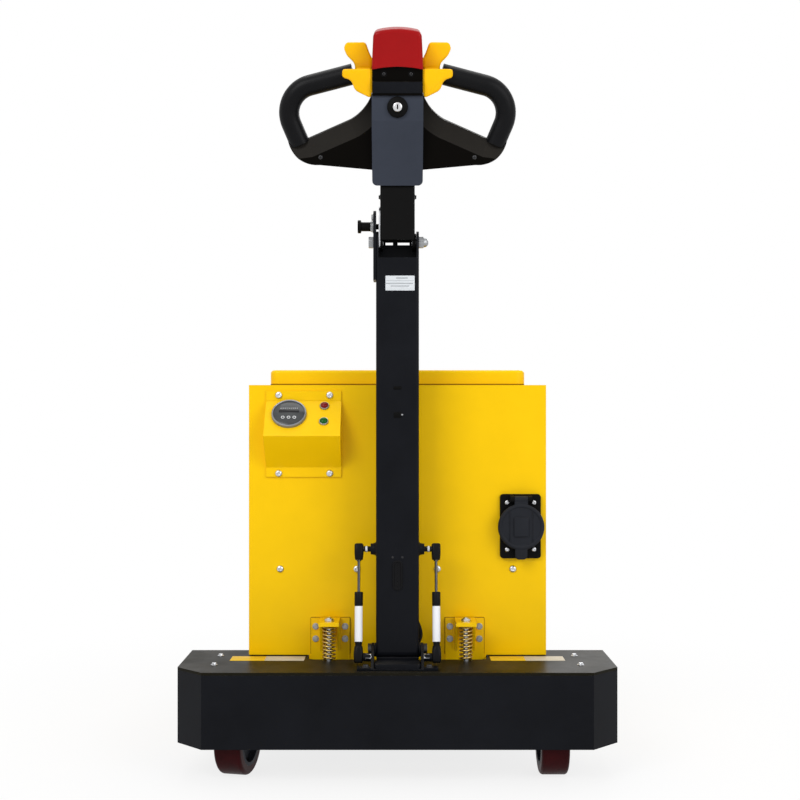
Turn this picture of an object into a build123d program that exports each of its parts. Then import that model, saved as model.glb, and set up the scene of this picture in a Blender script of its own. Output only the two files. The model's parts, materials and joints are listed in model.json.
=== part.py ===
from build123d import *

import os
from math import atan2, cos, degrees, hypot, pi, radians, sin, tan

# Walk-behind electric tow tug in millimetres: +Z up, the operator stands at -Y, the hitch is at +Y.
# Depths are measured backwards from the front face of the castor base.

# Fits and gaps
RUNNING_FIT = 0.05
SEAT_GAP = 0.3
SIDE_PLAY = 0.5

# Castor base
FRONT = -407.4
BASE_WIDTH = 630.0
BASE_DEPTH = 170.0
BASE_TOP = 160.0
BASE_BOTTOM = 52.0
BASE_CORNER = 40.0
BASE_SHEET = 4.0
NOTCH_WIDTH = 270.0
NOTCH_DEPTH = 96.0
NOTCH_RADIUS = 14.0
BEAM_HEIGHT = 30.0
BEAM_FRONT_DEPTH = 48.0
BEAM_REAR_DEPTH = 150.0
BEAM_SIDE_CLEARANCE = 6.0
BEAM_NOTCH_GAP = 4.0

# Castors
CASTOR_INSET = 90.0
CASTOR_DEPTH = 99.0
CASTOR_TRAIL = 30.0
CASTOR_RADIUS = 50.0
CASTOR_WIDTH = 40.0
CASTOR_TREAD_ROUND = 5.0
CASTOR_HUB_RADIUS = 37.0
CASTOR_HUB_BOSS = 6.0
CASTOR_HUB_DISH = 8.0
CASTOR_HUB_LIP = 5.0
CASTOR_AXLE_RADIUS = 6.0
CASTOR_AXLE_STUB = 4.0
CASTOR_EYE_RADIUS = 13.2
CASTOR_WHEEL_GAP = 5.0
CASTOR_FORK_SHEET = 4.0
CASTOR_FORK_LEAD = 2.0
CASTOR_FORK_CORNER = 12.0
CASTOR_CROWN = 6.0
CASTOR_PLATE_LENGTH = 100.0
CASTOR_PLATE_WIDTH = 86.0
CASTOR_PLATE_SHEET = 6.0
CASTOR_RACE_RADIUS = 29.0
CASTOR_RACE_HEIGHT = 6.0
KINGPIN_RADIUS = 8.0
KINGPIN_HEAD = 4.0
KINGPIN_HEAD_RADIUS = 12.0
CASTOR_TURNS = {"left": -13.0, "right": 0.0}

# Chassis and drive
CABINET_DEPTH = 126.0
REAR_OVERHANG = 160.0
CABINET_WIDTH = 446.0
CABINET_BOTTOM = 161.0
CABINET_TOP = 566.0
PANEL = 3.0
TONGUE_WIDTH = 266.0
TONGUE_BOTTOM = 150.0
SIDE_PLATE_X = 105.0
SIDE_PLATE = 8.0
SIDE_PLATE_BOTTOM = 112.0
SIDE_PLATE_FRONT_DEPTH = 150.0
TRAY_Z = 186.0
TRAY_SHEET = 4.0
CROSSMEMBER = 23.0
ARM_SHEET = 10.0
ARM_HEIGHT = 28.0
ARM_DROP = 6.0
ARM_LAP = 10.0
ARM_PIVOT_DEPTH = 235.0
ARM_PIVOT_RADIUS = 8.0
ARM_PIVOT_HEAD_RADIUS = 12.0
WHEEL_SETBACK = 1.0
WHEEL_RADIUS = 125.0
WHEEL_WIDTH = 75.0
WHEEL_X = 172.0
WHEEL_SHOULDER = 14.0
RIM_RADIUS = 80.0
RIM_WALL = 8.0
RIM_INSET = 4.0
RIM_WEB = 6.0
RIM_WEB_SHEET = 10.0
RIM_FLARE = 6.0
HUB_INSET = 12.0
HUB_RADIUS = 32.0
SHAFT_RADIUS = 15.0
SHAFT_INSET = 14.0
AXLE_TUBE_RADIUS = 30.0
AXLE_TUBE_END = 126.0
AXLE_EAR_WALL = 14.0
GEARCASE_RADIUS = 58.0
GEARCASE_WIDTH = 110.0
GEARCASE_CHAMFER = 10.0
MOTOR_RADIUS = 52.0
MOTOR_LENGTH = 150.0
MOTOR_CHAMFER = 6.0
ARCH_GAP = 12.0
BULKHEAD_DEPTH = 440.0
BATTERY_WIDTH = 170.0
BATTERY_HEIGHT = 212.0
BATTERY_GAP = 10.0
BATTERY_DEPTH = 150.0
BATTERY_REAR_GAP = 28.0
BATTERY_CORNER = 6.0
BATTERY_LID = 6.0
BATTERY_LID_INSET = 3.0
TERMINAL_X = 55.0
TERMINAL_DEPTH = 26.0
TERMINAL_RADIUS = 9.0
TERMINAL_HEIGHT = 16.0

# Cabinet lid
LID_SIDE_INSET = 30.0
LID_FRONT_DEPTH = 141.0
LID_REAR_GAP = 9.0
LID_HEIGHT = 23.0
LID_SHEET = 2.5
LID_CORNER = 14.0
LID_EDGE = 5.0
LID_OVERLAP = 22.0
LID_HINGE_OFFSET = 10.0
LID_BARREL_RADIUS = 5.0
LID_BARREL_RISE = 1.0
LID_LEAF = 4.0
LID_PIN_RADIUS = 3.0
LID_BARREL_LENGTH = 40.0
LID_BARREL_X = 100.0
LID_HINGE_BLOCK = 9.0
VENT_COUNT = 6
VENT_WIDTH = 160.0
VENT_HEIGHT = 6.0
VENT_PITCH = 16.0
VENT_Z = 430.0

# Gauge housing on the front panel
GAUGE_INSET = 82.5
GAUGE_BOX_WIDTH = 113.0
GAUGE_BOX_TOP = 557.0
GAUGE_BOX_BOTTOM = 428.0
GAUGE_FLANGE = 12.0
GAUGE_RIDGE_Z = 490.0
GAUGE_RIDGE_REACH = 47.0
GAUGE_SHEET = 2.5
GAUGE_OFFSET = -20.5
GAUGE_Z = 521.5
GAUGE_RADIUS = 26.0
GAUGE_PROUD = 5.0
GAUGE_BEZEL = 3.0
GAUGE_RECESS = 1.5
LAMP_OFFSET = 31.5
LAMP_RADIUS = 7.0
LAMP_PROUD = 3.0
LAMP_BEZEL = 2.0
LAMP_HEIGHTS = {"lamp_red": 534.0, "lamp_green": 511.0}

# Charge socket on the front panel
SOCKET_INSET = 39.0
SOCKET_Z = 354.5
SOCKET_PLATE = (61.0, 6.0, 96.0)
SOCKET_CORNER = 5.0
SOCKET_RING_RADIUS = 29.0
SOCKET_RING_REACH = 8.0
SOCKET_BARREL_RADIUS = 27.0
SOCKET_RECESS_RADIUS = 23.0
SOCKET_RECESS_DEPTH = 28.0
SOCKET_FLOOR = 6.0
SOCKET_PINS = 3
SOCKET_PIN_RADIUS = 3.0
SOCKET_PIN_LENGTH = 18.0
SOCKET_PIN_CIRCLE = 11.0
FLAP_RADIUS = 34.5
FLAP_THICKNESS = 6.0
FLAP_CHAMFER = 2.5
FLAP_HINGE_LEAD = 1.0
FLAP_LEAF_STEP = 1.0
FLAP_LEAF_LAP = 6.0
FLAP_TAB_LAP = 8.0
FLAP_HINGE_RISE = 41.0
FLAP_KNUCKLE_RADIUS = 5.0
FLAP_PIN_RADIUS = 2.5
FLAP_KNUCKLE_WIDTH = 20.0
FLAP_EAR = 6.0
FLAP_TAB = (19.0, 4.0, 22.0)
FLAP_PAD = (22.0, 2.0, 28.0)

# Suspension springs
SPRING_X = 100.5
SPRING_DEPTH = 86.0
SPRING_RADIUS = 8.6
SPRING_WIRE = 1.4
SPRING_TURNS = 9
SPRING_BOLT_RADIUS = 4.0
SPRING_BOLT_BELOW = 30.0
BRACKET_WIDTH = 58.0
BRACKET_BOTTOM = 154.0
BRACKET_TOP = 217.0
BRACKET_SHEET = 4.0
SHELF_WIDTH = 30.0
SHELF_Z = 212.0
SHELF_THICKNESS = 6.0
SHELF_LIP = 14.0
SHELF_GUSSET_RISE = 14.0
DOME_NUT_RADIUS = 7.0
DOME_NUT_HEIGHT = 4.0
DOME_RADIUS = 5.5

# Tiller foot
PIVOT_DEPTH = 62.0
PIVOT_Z = 181.0
PIVOT_RADIUS = 6.0
PIVOT_HEAD = 5.0
PIVOT_HEAD_RADIUS = 9.0
EAR_SHEET = 4.0
EAR_RADIUS = 10.0
EAR_WEB = 2.5
FOOT_FRONT_DEPTH = 12.0
FOOT_LENGTH = 18.0
FOOT_WIDTH = 20.0
BUSH_WIDTH = 2.3

# Tiller tube
TUBE_WIDTH = 62.0
TUBE_DEPTH = 42.0
TUBE_WALL = 3.5
TUBE_CORNER = 4.5
TUBE_INNER_CORNER = 1.0
TUBE_FRONT_DEPTH = 50.0
TUBE_BOTTOM = 170.0
TUBE_TOE_ROUND = 10.0
HINGE_DEPTH = 70.0
HINGE_Z = 772.0
HINGE_RADIUS = 5.0
HINGE_HEAD = 7.0
HINGE_HEX_RADIUS = 9.0
HINGE_DOME_RADIUS = 7.0
CHEEK_RISE = 16.0
NOTCH_DROP = 24.0
BACK_DROP = 6.0

# Gas springs
GAS_X = 56.0
GAS_FOOT_DEPTH = 40.0
GAS_FOOT_Z = 174.0
GAS_HEAD_DEPTH = 70.0
GAS_HEAD_Z = 326.0
GAS_STUD_RADIUS = 4.0
GAS_STUD_COLLAR = 6.0
GAS_CYLINDER_RADIUS = 6.5
GAS_CYLINDER_LENGTH = 77.0
GAS_ROD_RADIUS = 2.75
GAS_ROD_INSERT = 44.0
GAS_STROKE = 30.0
GAS_EYE_RADIUS = 7.0
GAS_EYE_LENGTH = 16.0
GAS_EYE_NECK = 6.0
GAS_EYE_WIDTH = 13.0
GAS_BOSS_RADIUS = 8.0
GAS_BOSS_LENGTH = 8.0

# Handle hinge
SHAFT_WIDTH = 50.0
SHAFT_DEPTH = 34.0
SHAFT_WALL = 3.5
SHAFT_CORNER = 4.0
SHAFT_RISE = 2.0
SHAFT_INTO_HEAD = 30.0
LUG_RADIUS = 13.0
SECTOR_SHEET = 2.0
SECTOR_RADIUS = 16.0
SECTOR_REACH = 36.0
INDEX_SHEET = 4.0
INDEX_WIDTH = 36.0
INDEX_DROP = 56.0
INDEX_RISE = 46.0
PLUNGER_RISE = 23.0
PLUNGER_NUT_RADIUS = 7.5
PLUNGER_NUT = 6.0
PLUNGER_BODY_RADIUS = 6.0
PLUNGER_BODY = 12.0
PLUNGER_KNOB_RADIUS = 9.5
PLUNGER_KNOB = 5.0
PLUNGER_PIN_RADIUS = 4.0

# Tiller head, measured across (x), up along the head (rise) and out towards the operator (reach)
HEAD_RISE = 82.5
HEAD_LEAN = 20.0
CORE_HALF_WIDTH = 34.0
CORE_BOTTOM = 10.0
CORE_TOP = 166.0
CORE_ARCH = 4.0
CORE_BACK = -30.0
CORE_FRONT = 14.0
BAND_HALF_WIDTH = 35.5
BAND_BOTTOM = 131.0
BAND_STEP = 150.0
BAND_FRONT = 29.0
BAND_UPPER_FRONT = 26.0
COVER_HALF_WIDTH = 36.3
COVER_BOTTOM = 4.0
COVER_FOLD = 97.0
COVER_BOTTOM_FRONT = 21.0
COVER_FOLD_FRONT = 33.0
COVER_TOP_FRONT = 26.0
COVER_CORNER = 7.0
COVER_SHAFT_GAP = 1.0
COVER_SHAFT_RISE = 60.0
BUTTON_BOTTOM_HALF = 36.0
BUTTON_TOP_HALF = 33.4
BUTTON_TOP = 216.0
BUTTON_CROWN = 4.5
BUTTON_CORNER = 9.0
BUTTON_EDGE = 5.0
BUTTON_BACK = -30.0
BUTTON_FRONT = 30.0
WING_BACK = -13.0
WING_FRONT = 19.0
WING_LOW_INNER = 26.0
WING_LOW_BEND = (112.0, 33.0)
WING_LOW_MIDDLE = (142.0, 42.0)
WING_TIP = (157.0, 64.0)
WING_SHOULDER = (128.0, 68.0)
WING_NECK = (68.0, 94.0)
WING_NECK_MIDDLE = (50.0, 108.0)
WING_NECK_TOP = 138.0
WING_BEVEL_RUN = 24.0
WING_BEVEL_DROP = 15.0
GRIP_RADIUS = 14.5
GRIP_START = (62.0, 158.0)
GRIP_CORNER = (169.0, 131.0)
GRIP_END = (140.0, 60.0)
GRIP_BEND = 40.0
PADDLE_INNER = 38.0
PADDLE_HUB_OUTER = 57.0
PADDLE_RISE = 158.0
PADDLE_HUB_RADIUS = 9.0
PADDLE_SHAFT_RADIUS = 5.0
PADDLE_THICKNESS = 5.0
PADDLE_GRIP_GAP = 5.0
PADDLE_ROUND = 3.0
PADDLE_NECK = (14.0, 4.0)
PADDLE_UPPER = [(38.0, 158.0), (60.0, 158.0), (60.0, 172.0), (72.0, 186.0), (75.4, 193.0), (72.0, 201.0),
                (46.5, 201.0), (43.0, 187.0), (38.0, 183.0)]
PADDLE_LOWER = [(38.0, 166.0), (77.0, 166.0), (77.6, 156.0), (66.0, 151.0), (59.5, 137.0), (38.5, 127.0)]
KEY_RISE = 115.0
KEY_RING_RADIUS = 14.5
KEY_RING_PROUD = 5.0
KEY_CORE_RADIUS = 7.5
KEY_CORE_PROUD = 8.0

# Tow hitch
HITCH_FLANGE = (140.0, 12.0, 46.0)
TONGUE_PLATE = 16.0
TONGUE_HALF_WIDTH = 40.0
TONGUE_Z = 124.0
TOW_PIN_OFFSET = 72.0
TOW_PIN_RADIUS = 12.5
TOW_PIN_HEIGHT = 65.0
TOW_PIN_CHAMFER = 3.0
TOW_PIN_SHANK = 10.0
TOW_PIN_UNDERCUT = 1.0
GUSSET = 10.0

# Tiller cable loop behind the tube, as (x, depth behind the tube, z)
CABLE_RADIUS = 3.0
CABLE_BEND_SHARE = 0.45
CABLE_POINTS = [(16, 3.3, 262), (20, 4.2, 238), (34, 4.8, 216), (35, 4.6, 196), (21, 4.2, 180)]

# Values worked out from the sizes above
CHAMFER_SHARE = tan(pi / 8)
CASTOR_X = BASE_WIDTH / 2 - CASTOR_INSET
AXLE_DEPTH = BULKHEAD_DEPTH + WHEEL_RADIUS + WHEEL_SETBACK
CABINET_LENGTH = AXLE_DEPTH + REAR_OVERHANG - CABINET_DEPTH
BATTERY_LENGTH = BULKHEAD_DEPTH - BATTERY_DEPTH - BATTERY_REAR_GAP
LID_WIDTH = CABINET_WIDTH - 2 * LID_SIDE_INSET
LID_LENGTH = BULKHEAD_DEPTH - LID_FRONT_DEPTH - LID_REAR_GAP
GAUGE_BOX_X = GAUGE_INSET - CABINET_WIDTH / 2
SOCKET_X = CABINET_WIDTH / 2 - SOCKET_INSET
BASE_UNDER = BASE_TOP - BASE_SHEET
BEAM_BOTTOM = BASE_UNDER - BEAM_HEIGHT
ARM_PIVOT_Z = BEAM_BOTTOM + ARM_HEIGHT / 2 - ARM_DROP
CASTOR_PLATE_Z = BEAM_BOTTOM - CASTOR_PLATE_SHEET
CASTOR_RACE_Z = CASTOR_PLATE_Z - CASTOR_RACE_HEIGHT
CASTOR_CROWN_TOP = CASTOR_RACE_Z - SEAT_GAP
CASTOR_CROWN_Z = CASTOR_CROWN_TOP - CASTOR_CROWN
FORK_INNER = CASTOR_WIDTH / 2 + CASTOR_WHEEL_GAP
FORK_OUTER = FORK_INNER + CASTOR_FORK_SHEET
CABINET_FRONT = FRONT + CABINET_DEPTH
CABINET_REAR = CABINET_FRONT + CABINET_LENGTH
INNER_X = CABINET_WIDTH / 2 - PANEL
AXLE_Y = FRONT + AXLE_DEPTH
AXLE_Z = WHEEL_RADIUS
WHEEL_OUTER = WHEEL_X + WHEEL_WIDTH / 2
PIVOT_Y = FRONT + PIVOT_DEPTH
HINGE_Y = FRONT + HINGE_DEPTH
HEAD_Z = HINGE_Z + HEAD_RISE
PLUNGER_Z = HINGE_Z + PLUNGER_RISE
TUBE_FRONT = FRONT + TUBE_FRONT_DEPTH
TUBE_BACK = TUBE_FRONT + TUBE_DEPTH
TUBE_HALF = TUBE_WIDTH / 2
EAR_INNER = TUBE_HALF + BUSH_WIDTH + SEAT_GAP
EAR_OUTER = EAR_INNER + EAR_SHEET
HEAD_UP = Vector(0, -sin(radians(HEAD_LEAN)), cos(radians(HEAD_LEAN)))
HEAD_OUT = Vector(0, -cos(radians(HEAD_LEAN)), -sin(radians(HEAD_LEAN)))
HEAD = Plane(origin=(0, HINGE_Y, HEAD_Z), x_dir=(1, 0, 0), z_dir=HEAD_OUT)
SIDES = {"left": -1, "right": 1}


def slab(x, y, z):
    """Rectangular solid between the low and high values on each axis."""
    size = [high - low for low, high in (x, y, z)]
    middle = [(high + low) / 2 for low, high in (x, y, z)]
    return Pos(*middle) * Box(*size)


def rod(axis, radius, span, first, second):
    """Cylinder along X, Y or Z over a span, at the other two coordinates in order."""
    length = span[1] - span[0]
    middle = (span[1] + span[0]) / 2
    if axis == "x":
        return Pos(middle, first, second) * Rot(0, 90, 0) * Cylinder(radius, length)
    if axis == "y":
        return Pos(first, middle, second) * Rot(90, 0, 0) * Cylinder(radius, length)
    return Pos(first, second, middle) * Cylinder(radius, length)


def side_profile(sketch, x):
    """Sketch drawn as (depth y, height z), extruded between two x values."""
    plane = Plane(origin=(x[0], 0, 0), x_dir=(0, 1, 0), z_dir=(1, 0, 0))
    return extrude(plane * sketch, x[1] - x[0])


def polygon(points):
    return make_face(Polyline(*points, close=True))


def both_sides(shape):
    return [shape, mirror(shape, Plane.YZ)]


def gather(shapes):
    return Compound(children=[solid for shape in shapes for solid in shape.solids()])


def disc_sketch(radius, y, z):
    return Pos(y, z) * Circle(radius)


def base_outline(inset, rear):
    half = BASE_WIDTH / 2 - inset
    corner = BASE_CORNER + inset * CHAMFER_SHARE
    front = FRONT + inset
    return [
        (-half, rear),
        (-half, FRONT + corner),
        (-half + corner - inset, front),
        (half - corner + inset, front),
        (half, FRONT + corner),
        (half, rear),
    ]


def base_notch(height_from, height_to, widen):
    """Rounded cut behind the tiller foot, open towards the cabinet."""
    front = FRONT + NOTCH_DEPTH - widen
    half = NOTCH_WIDTH / 2 + widen
    rear = FRONT + BASE_DEPTH + NOTCH_RADIUS * 2
    outline = Pos(0, (front + rear) / 2) * RectangleRounded(2 * half, rear - front, NOTCH_RADIUS)
    return extrude(Pos(0, 0, height_from) * outline, height_to - height_from)


def base_top_plate():
    rear = FRONT + BASE_DEPTH
    plate = extrude(Pos(0, 0, BASE_UNDER) * polygon(base_outline(0, rear)), BASE_SHEET)
    plate -= base_notch(BASE_UNDER, BASE_TOP, 0)
    for side in SIDES.values():
        plate -= rod("z", SPRING_BOLT_RADIUS + RUNNING_FIT, (BASE_UNDER, BASE_TOP),
                     side * SPRING_X, FRONT + SPRING_DEPTH)
    return plate


def base_skirt():
    rear = FRONT + BASE_DEPTH
    height = BASE_UNDER - BASE_BOTTOM
    outer = extrude(Pos(0, 0, BASE_BOTTOM) * polygon(base_outline(0, rear)), height)
    inner = extrude(Pos(0, 0, BASE_BOTTOM) * polygon(base_outline(BASE_SHEET, rear)), height)
    return outer - inner


def castor_beam():
    half = BASE_WIDTH / 2 - BASE_SHEET - BEAM_SIDE_CLEARANCE
    beam = slab((-half, half), (FRONT + BEAM_FRONT_DEPTH, FRONT + BEAM_REAR_DEPTH), (BEAM_BOTTOM, BASE_UNDER))
    beam -= base_notch(BEAM_BOTTOM, BASE_UNDER, BEAM_NOTCH_GAP)
    for side in SIDES.values():
        beam -= rod("z", SPRING_BOLT_RADIUS + RUNNING_FIT, (BEAM_BOTTOM, BASE_UNDER),
                    side * SPRING_X, FRONT + SPRING_DEPTH)
    arm_inner = SIDE_PLATE_X + SIDE_PLATE / 2 + SIDE_PLAY
    arm_start = FRONT + NOTCH_DEPTH - ARM_LAP
    pivot_y = FRONT + ARM_PIVOT_DEPTH
    sketch = polygon([
        (arm_start, BEAM_BOTTOM),
        (pivot_y, ARM_PIVOT_Z - ARM_HEIGHT / 2),
        (pivot_y, ARM_PIVOT_Z + ARM_HEIGHT / 2),
        (arm_start, BEAM_BOTTOM + ARM_HEIGHT - ARM_DROP),
    ]) + disc_sketch(ARM_HEIGHT / 2, pivot_y, ARM_PIVOT_Z)
    arm = side_profile(sketch, (arm_inner, arm_inner + ARM_SHEET))
    arm -= rod("x", ARM_PIVOT_RADIUS + RUNNING_FIT, (arm_inner, arm_inner + ARM_SHEET), pivot_y, ARM_PIVOT_Z)
    for shape in both_sides(arm):
        beam += shape
    return beam


def arm_pivot_bolts():
    pivot_y = FRONT + ARM_PIVOT_DEPTH
    inner = SIDE_PLATE_X + SIDE_PLATE / 2
    outer = inner + SIDE_PLAY + ARM_SHEET + SIDE_PLAY
    bolt = rod("x", ARM_PIVOT_RADIUS, (inner, outer), pivot_y, ARM_PIVOT_Z)
    bolt += rod("x", ARM_PIVOT_HEAD_RADIUS, (outer, outer + PIVOT_HEAD), pivot_y, ARM_PIVOT_Z)
    return gather(both_sides(bolt))


def castor_plate(side):
    x = SIDES[side] * CASTOR_X
    y = FRONT + CASTOR_DEPTH
    half_length = CASTOR_PLATE_LENGTH / 2
    half_width = CASTOR_PLATE_WIDTH / 2
    plate = slab((x - half_length, x + half_length), (y - half_width, y + half_width),
                 (CASTOR_PLATE_Z, BEAM_BOTTOM))
    plate += rod("z", CASTOR_RACE_RADIUS, (CASTOR_RACE_Z, CASTOR_PLATE_Z), x, y)
    head_top = CASTOR_CROWN_Z - SEAT_GAP
    plate += rod("z", KINGPIN_RADIUS, (head_top - KINGPIN_HEAD, CASTOR_RACE_Z), x, y)
    plate += rod("z", KINGPIN_HEAD_RADIUS, (head_top - KINGPIN_HEAD, head_top), x, y)
    return plate


def place_castor(shape, side):
    """Puts a castor drawn about its swivel axis at its place, turned as it stands."""
    return Pos(SIDES[side] * CASTOR_X, FRONT + CASTOR_DEPTH, 0) * Rot(0, 0, CASTOR_TURNS[side]) * shape


def castor_fork(side):
    eye = CASTOR_EYE_RADIUS
    rear = CASTOR_RACE_RADIUS
    front = -CASTOR_TRAIL - eye - CASTOR_FORK_LEAD
    crown = slab((-FORK_OUTER, FORK_OUTER), (front, rear), (CASTOR_CROWN_Z, CASTOR_CROWN_TOP))
    crown = fillet(crown.edges().filter_by(Axis.Z), CASTOR_FORK_CORNER)
    leg = polygon([
        (front + CASTOR_FORK_CORNER, CASTOR_CROWN_Z),
        (-CASTOR_TRAIL - eye, CASTOR_RADIUS),
        (-CASTOR_TRAIL + eye, CASTOR_RADIUS),
        (rear - CASTOR_FORK_CORNER, CASTOR_CROWN_Z),
    ]) + disc_sketch(eye, -CASTOR_TRAIL, CASTOR_RADIUS)
    fork = crown - rod("z", KINGPIN_RADIUS + RUNNING_FIT, (CASTOR_CROWN_Z, CASTOR_CROWN_TOP), 0, 0)
    for shape in both_sides(side_profile(leg, (FORK_INNER, FORK_OUTER))):
        fork += shape
    axle_end = FORK_OUTER + CASTOR_AXLE_STUB
    fork += rod("x", CASTOR_AXLE_RADIUS, (-axle_end, axle_end), -CASTOR_TRAIL, CASTOR_RADIUS)
    return place_castor(fork, side)


def wheel_about_x(profile):
    """Ring turned about the X axis from a profile drawn as (x, radius)."""
    return revolve(profile, Axis.X, 360)


def castor_tyre(side):
    middle = (CASTOR_RADIUS + CASTOR_HUB_RADIUS) / 2
    tread = Pos(0, middle) * Rectangle(CASTOR_WIDTH, CASTOR_RADIUS - CASTOR_HUB_RADIUS)
    tread = fillet(tread.vertices().group_by(Axis.Y)[-1], CASTOR_TREAD_ROUND)
    ring = Pos(0, -CASTOR_TRAIL, CASTOR_RADIUS) * wheel_about_x(tread)
    return place_castor(ring, side)


def castor_hub(side):
    half = CASTOR_WIDTH / 2
    boss = FORK_INNER - SIDE_PLAY
    bore = CASTOR_AXLE_RADIUS + RUNNING_FIT
    floor = half - CASTOR_HUB_DISH
    boss_radius = bore + CASTOR_HUB_BOSS
    lip = CASTOR_HUB_RADIUS - CASTOR_HUB_LIP
    edge = [
        (boss, bore),
        (boss, boss_radius),
        (floor, boss_radius),
        (floor, CASTOR_HUB_RADIUS - CASTOR_HUB_DISH),
        (half, lip),
        (half, CASTOR_HUB_RADIUS),
    ]
    profile = polygon(edge + [(-x, radius) for x, radius in reversed(edge)])
    return place_castor(Pos(0, -CASTOR_TRAIL, CASTOR_RADIUS) * wheel_about_x(profile), side)


def chassis_plates():
    front = FRONT + SIDE_PLATE_FRONT_DEPTH
    rear = CABINET_REAR - PANEL - CROSSMEMBER
    ear = AXLE_TUBE_RADIUS + AXLE_EAR_WALL
    sketch = polygon([
        (front, TRAY_Z),
        (front, SIDE_PLATE_BOTTOM),
        (rear, SIDE_PLATE_BOTTOM),
        (rear, TRAY_Z),
    ]) + disc_sketch(ear, AXLE_Y, AXLE_Z)
    sketch -= disc_sketch(AXLE_TUBE_RADIUS + RUNNING_FIT, AXLE_Y, AXLE_Z)
    inner = SIDE_PLATE_X - SIDE_PLATE / 2
    return gather(both_sides(side_profile(sketch, (inner, inner + SIDE_PLATE))))


def rear_crossmember():
    half = SIDE_PLATE_X + SIDE_PLATE / 2
    rear = CABINET_REAR - PANEL
    return slab((-half, half), (rear - CROSSMEMBER, rear), (SIDE_PLATE_BOTTOM, TRAY_Z))


def battery_tray():
    y = (CABINET_FRONT + PANEL, FRONT + BULKHEAD_DEPTH + PANEL)
    return slab((-INNER_X, INNER_X), y, (TRAY_Z, TRAY_Z + TRAY_SHEET))


def bulkhead():
    y = FRONT + BULKHEAD_DEPTH
    return slab((-INNER_X, INNER_X), (y, y + PANEL), (TRAY_Z + TRAY_SHEET, CABINET_TOP - PANEL))


def battery(side):
    """Case with a stepped lid and two terminals near the front."""
    middle = SIDES[side] * (BATTERY_WIDTH + BATTERY_GAP) / 2
    half = BATTERY_WIDTH / 2
    y = (FRONT + BATTERY_DEPTH, FRONT + BATTERY_DEPTH + BATTERY_LENGTH)
    low = TRAY_Z + TRAY_SHEET
    top = low + BATTERY_HEIGHT
    block = slab((middle - half, middle + half), y, (low, top))
    block = fillet(block.edges().filter_by(Axis.Z), BATTERY_CORNER)
    inset = BATTERY_LID_INSET
    block += slab((middle - half + inset, middle + half - inset), (y[0] + inset, y[1] - inset),
                  (top, top + BATTERY_LID))
    post = (top + BATTERY_LID, top + BATTERY_LID + TERMINAL_HEIGHT)
    for offset in (-TERMINAL_X, TERMINAL_X):
        block += rod("z", TERMINAL_RADIUS, post, middle + offset, y[0] + TERMINAL_DEPTH)
    return block


def drive_unit():
    half = GEARCASE_WIDTH / 2
    case = rod("x", GEARCASE_RADIUS, (-half, half), AXLE_Y, AXLE_Z)
    case = chamfer(case.edges(), GEARCASE_CHAMFER)
    motor_front = AXLE_Y - GEARCASE_RADIUS - MOTOR_LENGTH
    motor = rod("y", MOTOR_RADIUS, (motor_front, AXLE_Y), 0, AXLE_Z)
    motor = chamfer(motor.edges().group_by(Axis.Y)[0], MOTOR_CHAMFER)
    unit = case + motor
    unit += rod("x", AXLE_TUBE_RADIUS, (-AXLE_TUBE_END, AXLE_TUBE_END), AXLE_Y, AXLE_Z)
    shaft_end = WHEEL_OUTER - SHAFT_INSET
    unit += rod("x", SHAFT_RADIUS, (-shaft_end, shaft_end), AXLE_Y, AXLE_Z)
    return unit


def drive_rim(side):
    bore = SHAFT_RADIUS + RUNNING_FIT
    inner = AXLE_TUBE_END - WHEEL_X + SIDE_PLAY
    half = WHEEL_WIDTH / 2
    barrel = RIM_RADIUS - RIM_WALL
    edge = half - RIM_INSET
    web_front = RIM_WEB + RIM_WEB_SHEET
    profile = polygon([
        (inner, bore),
        (inner, HUB_RADIUS),
        (RIM_WEB, HUB_RADIUS),
        (RIM_WEB, barrel),
        (-edge, barrel),
        (-edge, RIM_RADIUS),
        (edge, RIM_RADIUS),
        (edge, barrel),
        (web_front, barrel - RIM_FLARE),
        (web_front, HUB_RADIUS + RIM_FLARE),
        (half - HUB_INSET, HUB_RADIUS),
        (half - HUB_INSET, bore),
    ])
    rim = Pos(WHEEL_X, AXLE_Y, AXLE_Z) * wheel_about_x(profile)
    return rim if side == "right" else mirror(rim, Plane.YZ)


def drive_tyre(side):
    ring = Pos(0, (WHEEL_RADIUS + RIM_RADIUS) / 2) * Rectangle(WHEEL_WIDTH, WHEEL_RADIUS - RIM_RADIUS)
    ring = fillet(ring.vertices().group_by(Axis.Y)[-1], WHEEL_SHOULDER)
    tyre = wheel_about_x(ring)
    return Pos(SIDES[side] * WHEEL_X, AXLE_Y, AXLE_Z) * tyre


def cabinet_front():
    half = CABINET_WIDTH / 2
    y = (CABINET_FRONT, CABINET_FRONT + PANEL)
    panel = slab((-half, half), y, (CABINET_BOTTOM, CABINET_TOP))
    panel += slab((-TONGUE_WIDTH / 2, TONGUE_WIDTH / 2), y, (TONGUE_BOTTOM, CABINET_BOTTOM))
    return panel - rod("y", SOCKET_BARREL_RADIUS + SIDE_PLAY, y, SOCKET_X, SOCKET_Z)


def cabinet_side(side):
    y = (CABINET_FRONT + PANEL, CABINET_REAR - PANEL)
    panel = slab((INNER_X, INNER_X + PANEL), y, (CABINET_BOTTOM, CABINET_TOP))
    panel -= rod("x", WHEEL_RADIUS + ARCH_GAP, (INNER_X, INNER_X + PANEL), AXLE_Y, AXLE_Z)
    return panel if side == "right" else mirror(panel, Plane.YZ)


def cabinet_rear():
    half = CABINET_WIDTH / 2
    y = (CABINET_REAR - PANEL, CABINET_REAR)
    panel = slab((-half, half), y, (CABINET_BOTTOM, CABINET_TOP))
    for index in range(VENT_COUNT):
        z = VENT_Z + index * VENT_PITCH
        slot = Pos(0, 0, z) * Rot(90, 0, 0) * SlotOverall(VENT_WIDTH, VENT_HEIGHT)
        panel -= Pos(0, y[1], 0) * extrude(slot, PANEL)
    return panel


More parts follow.
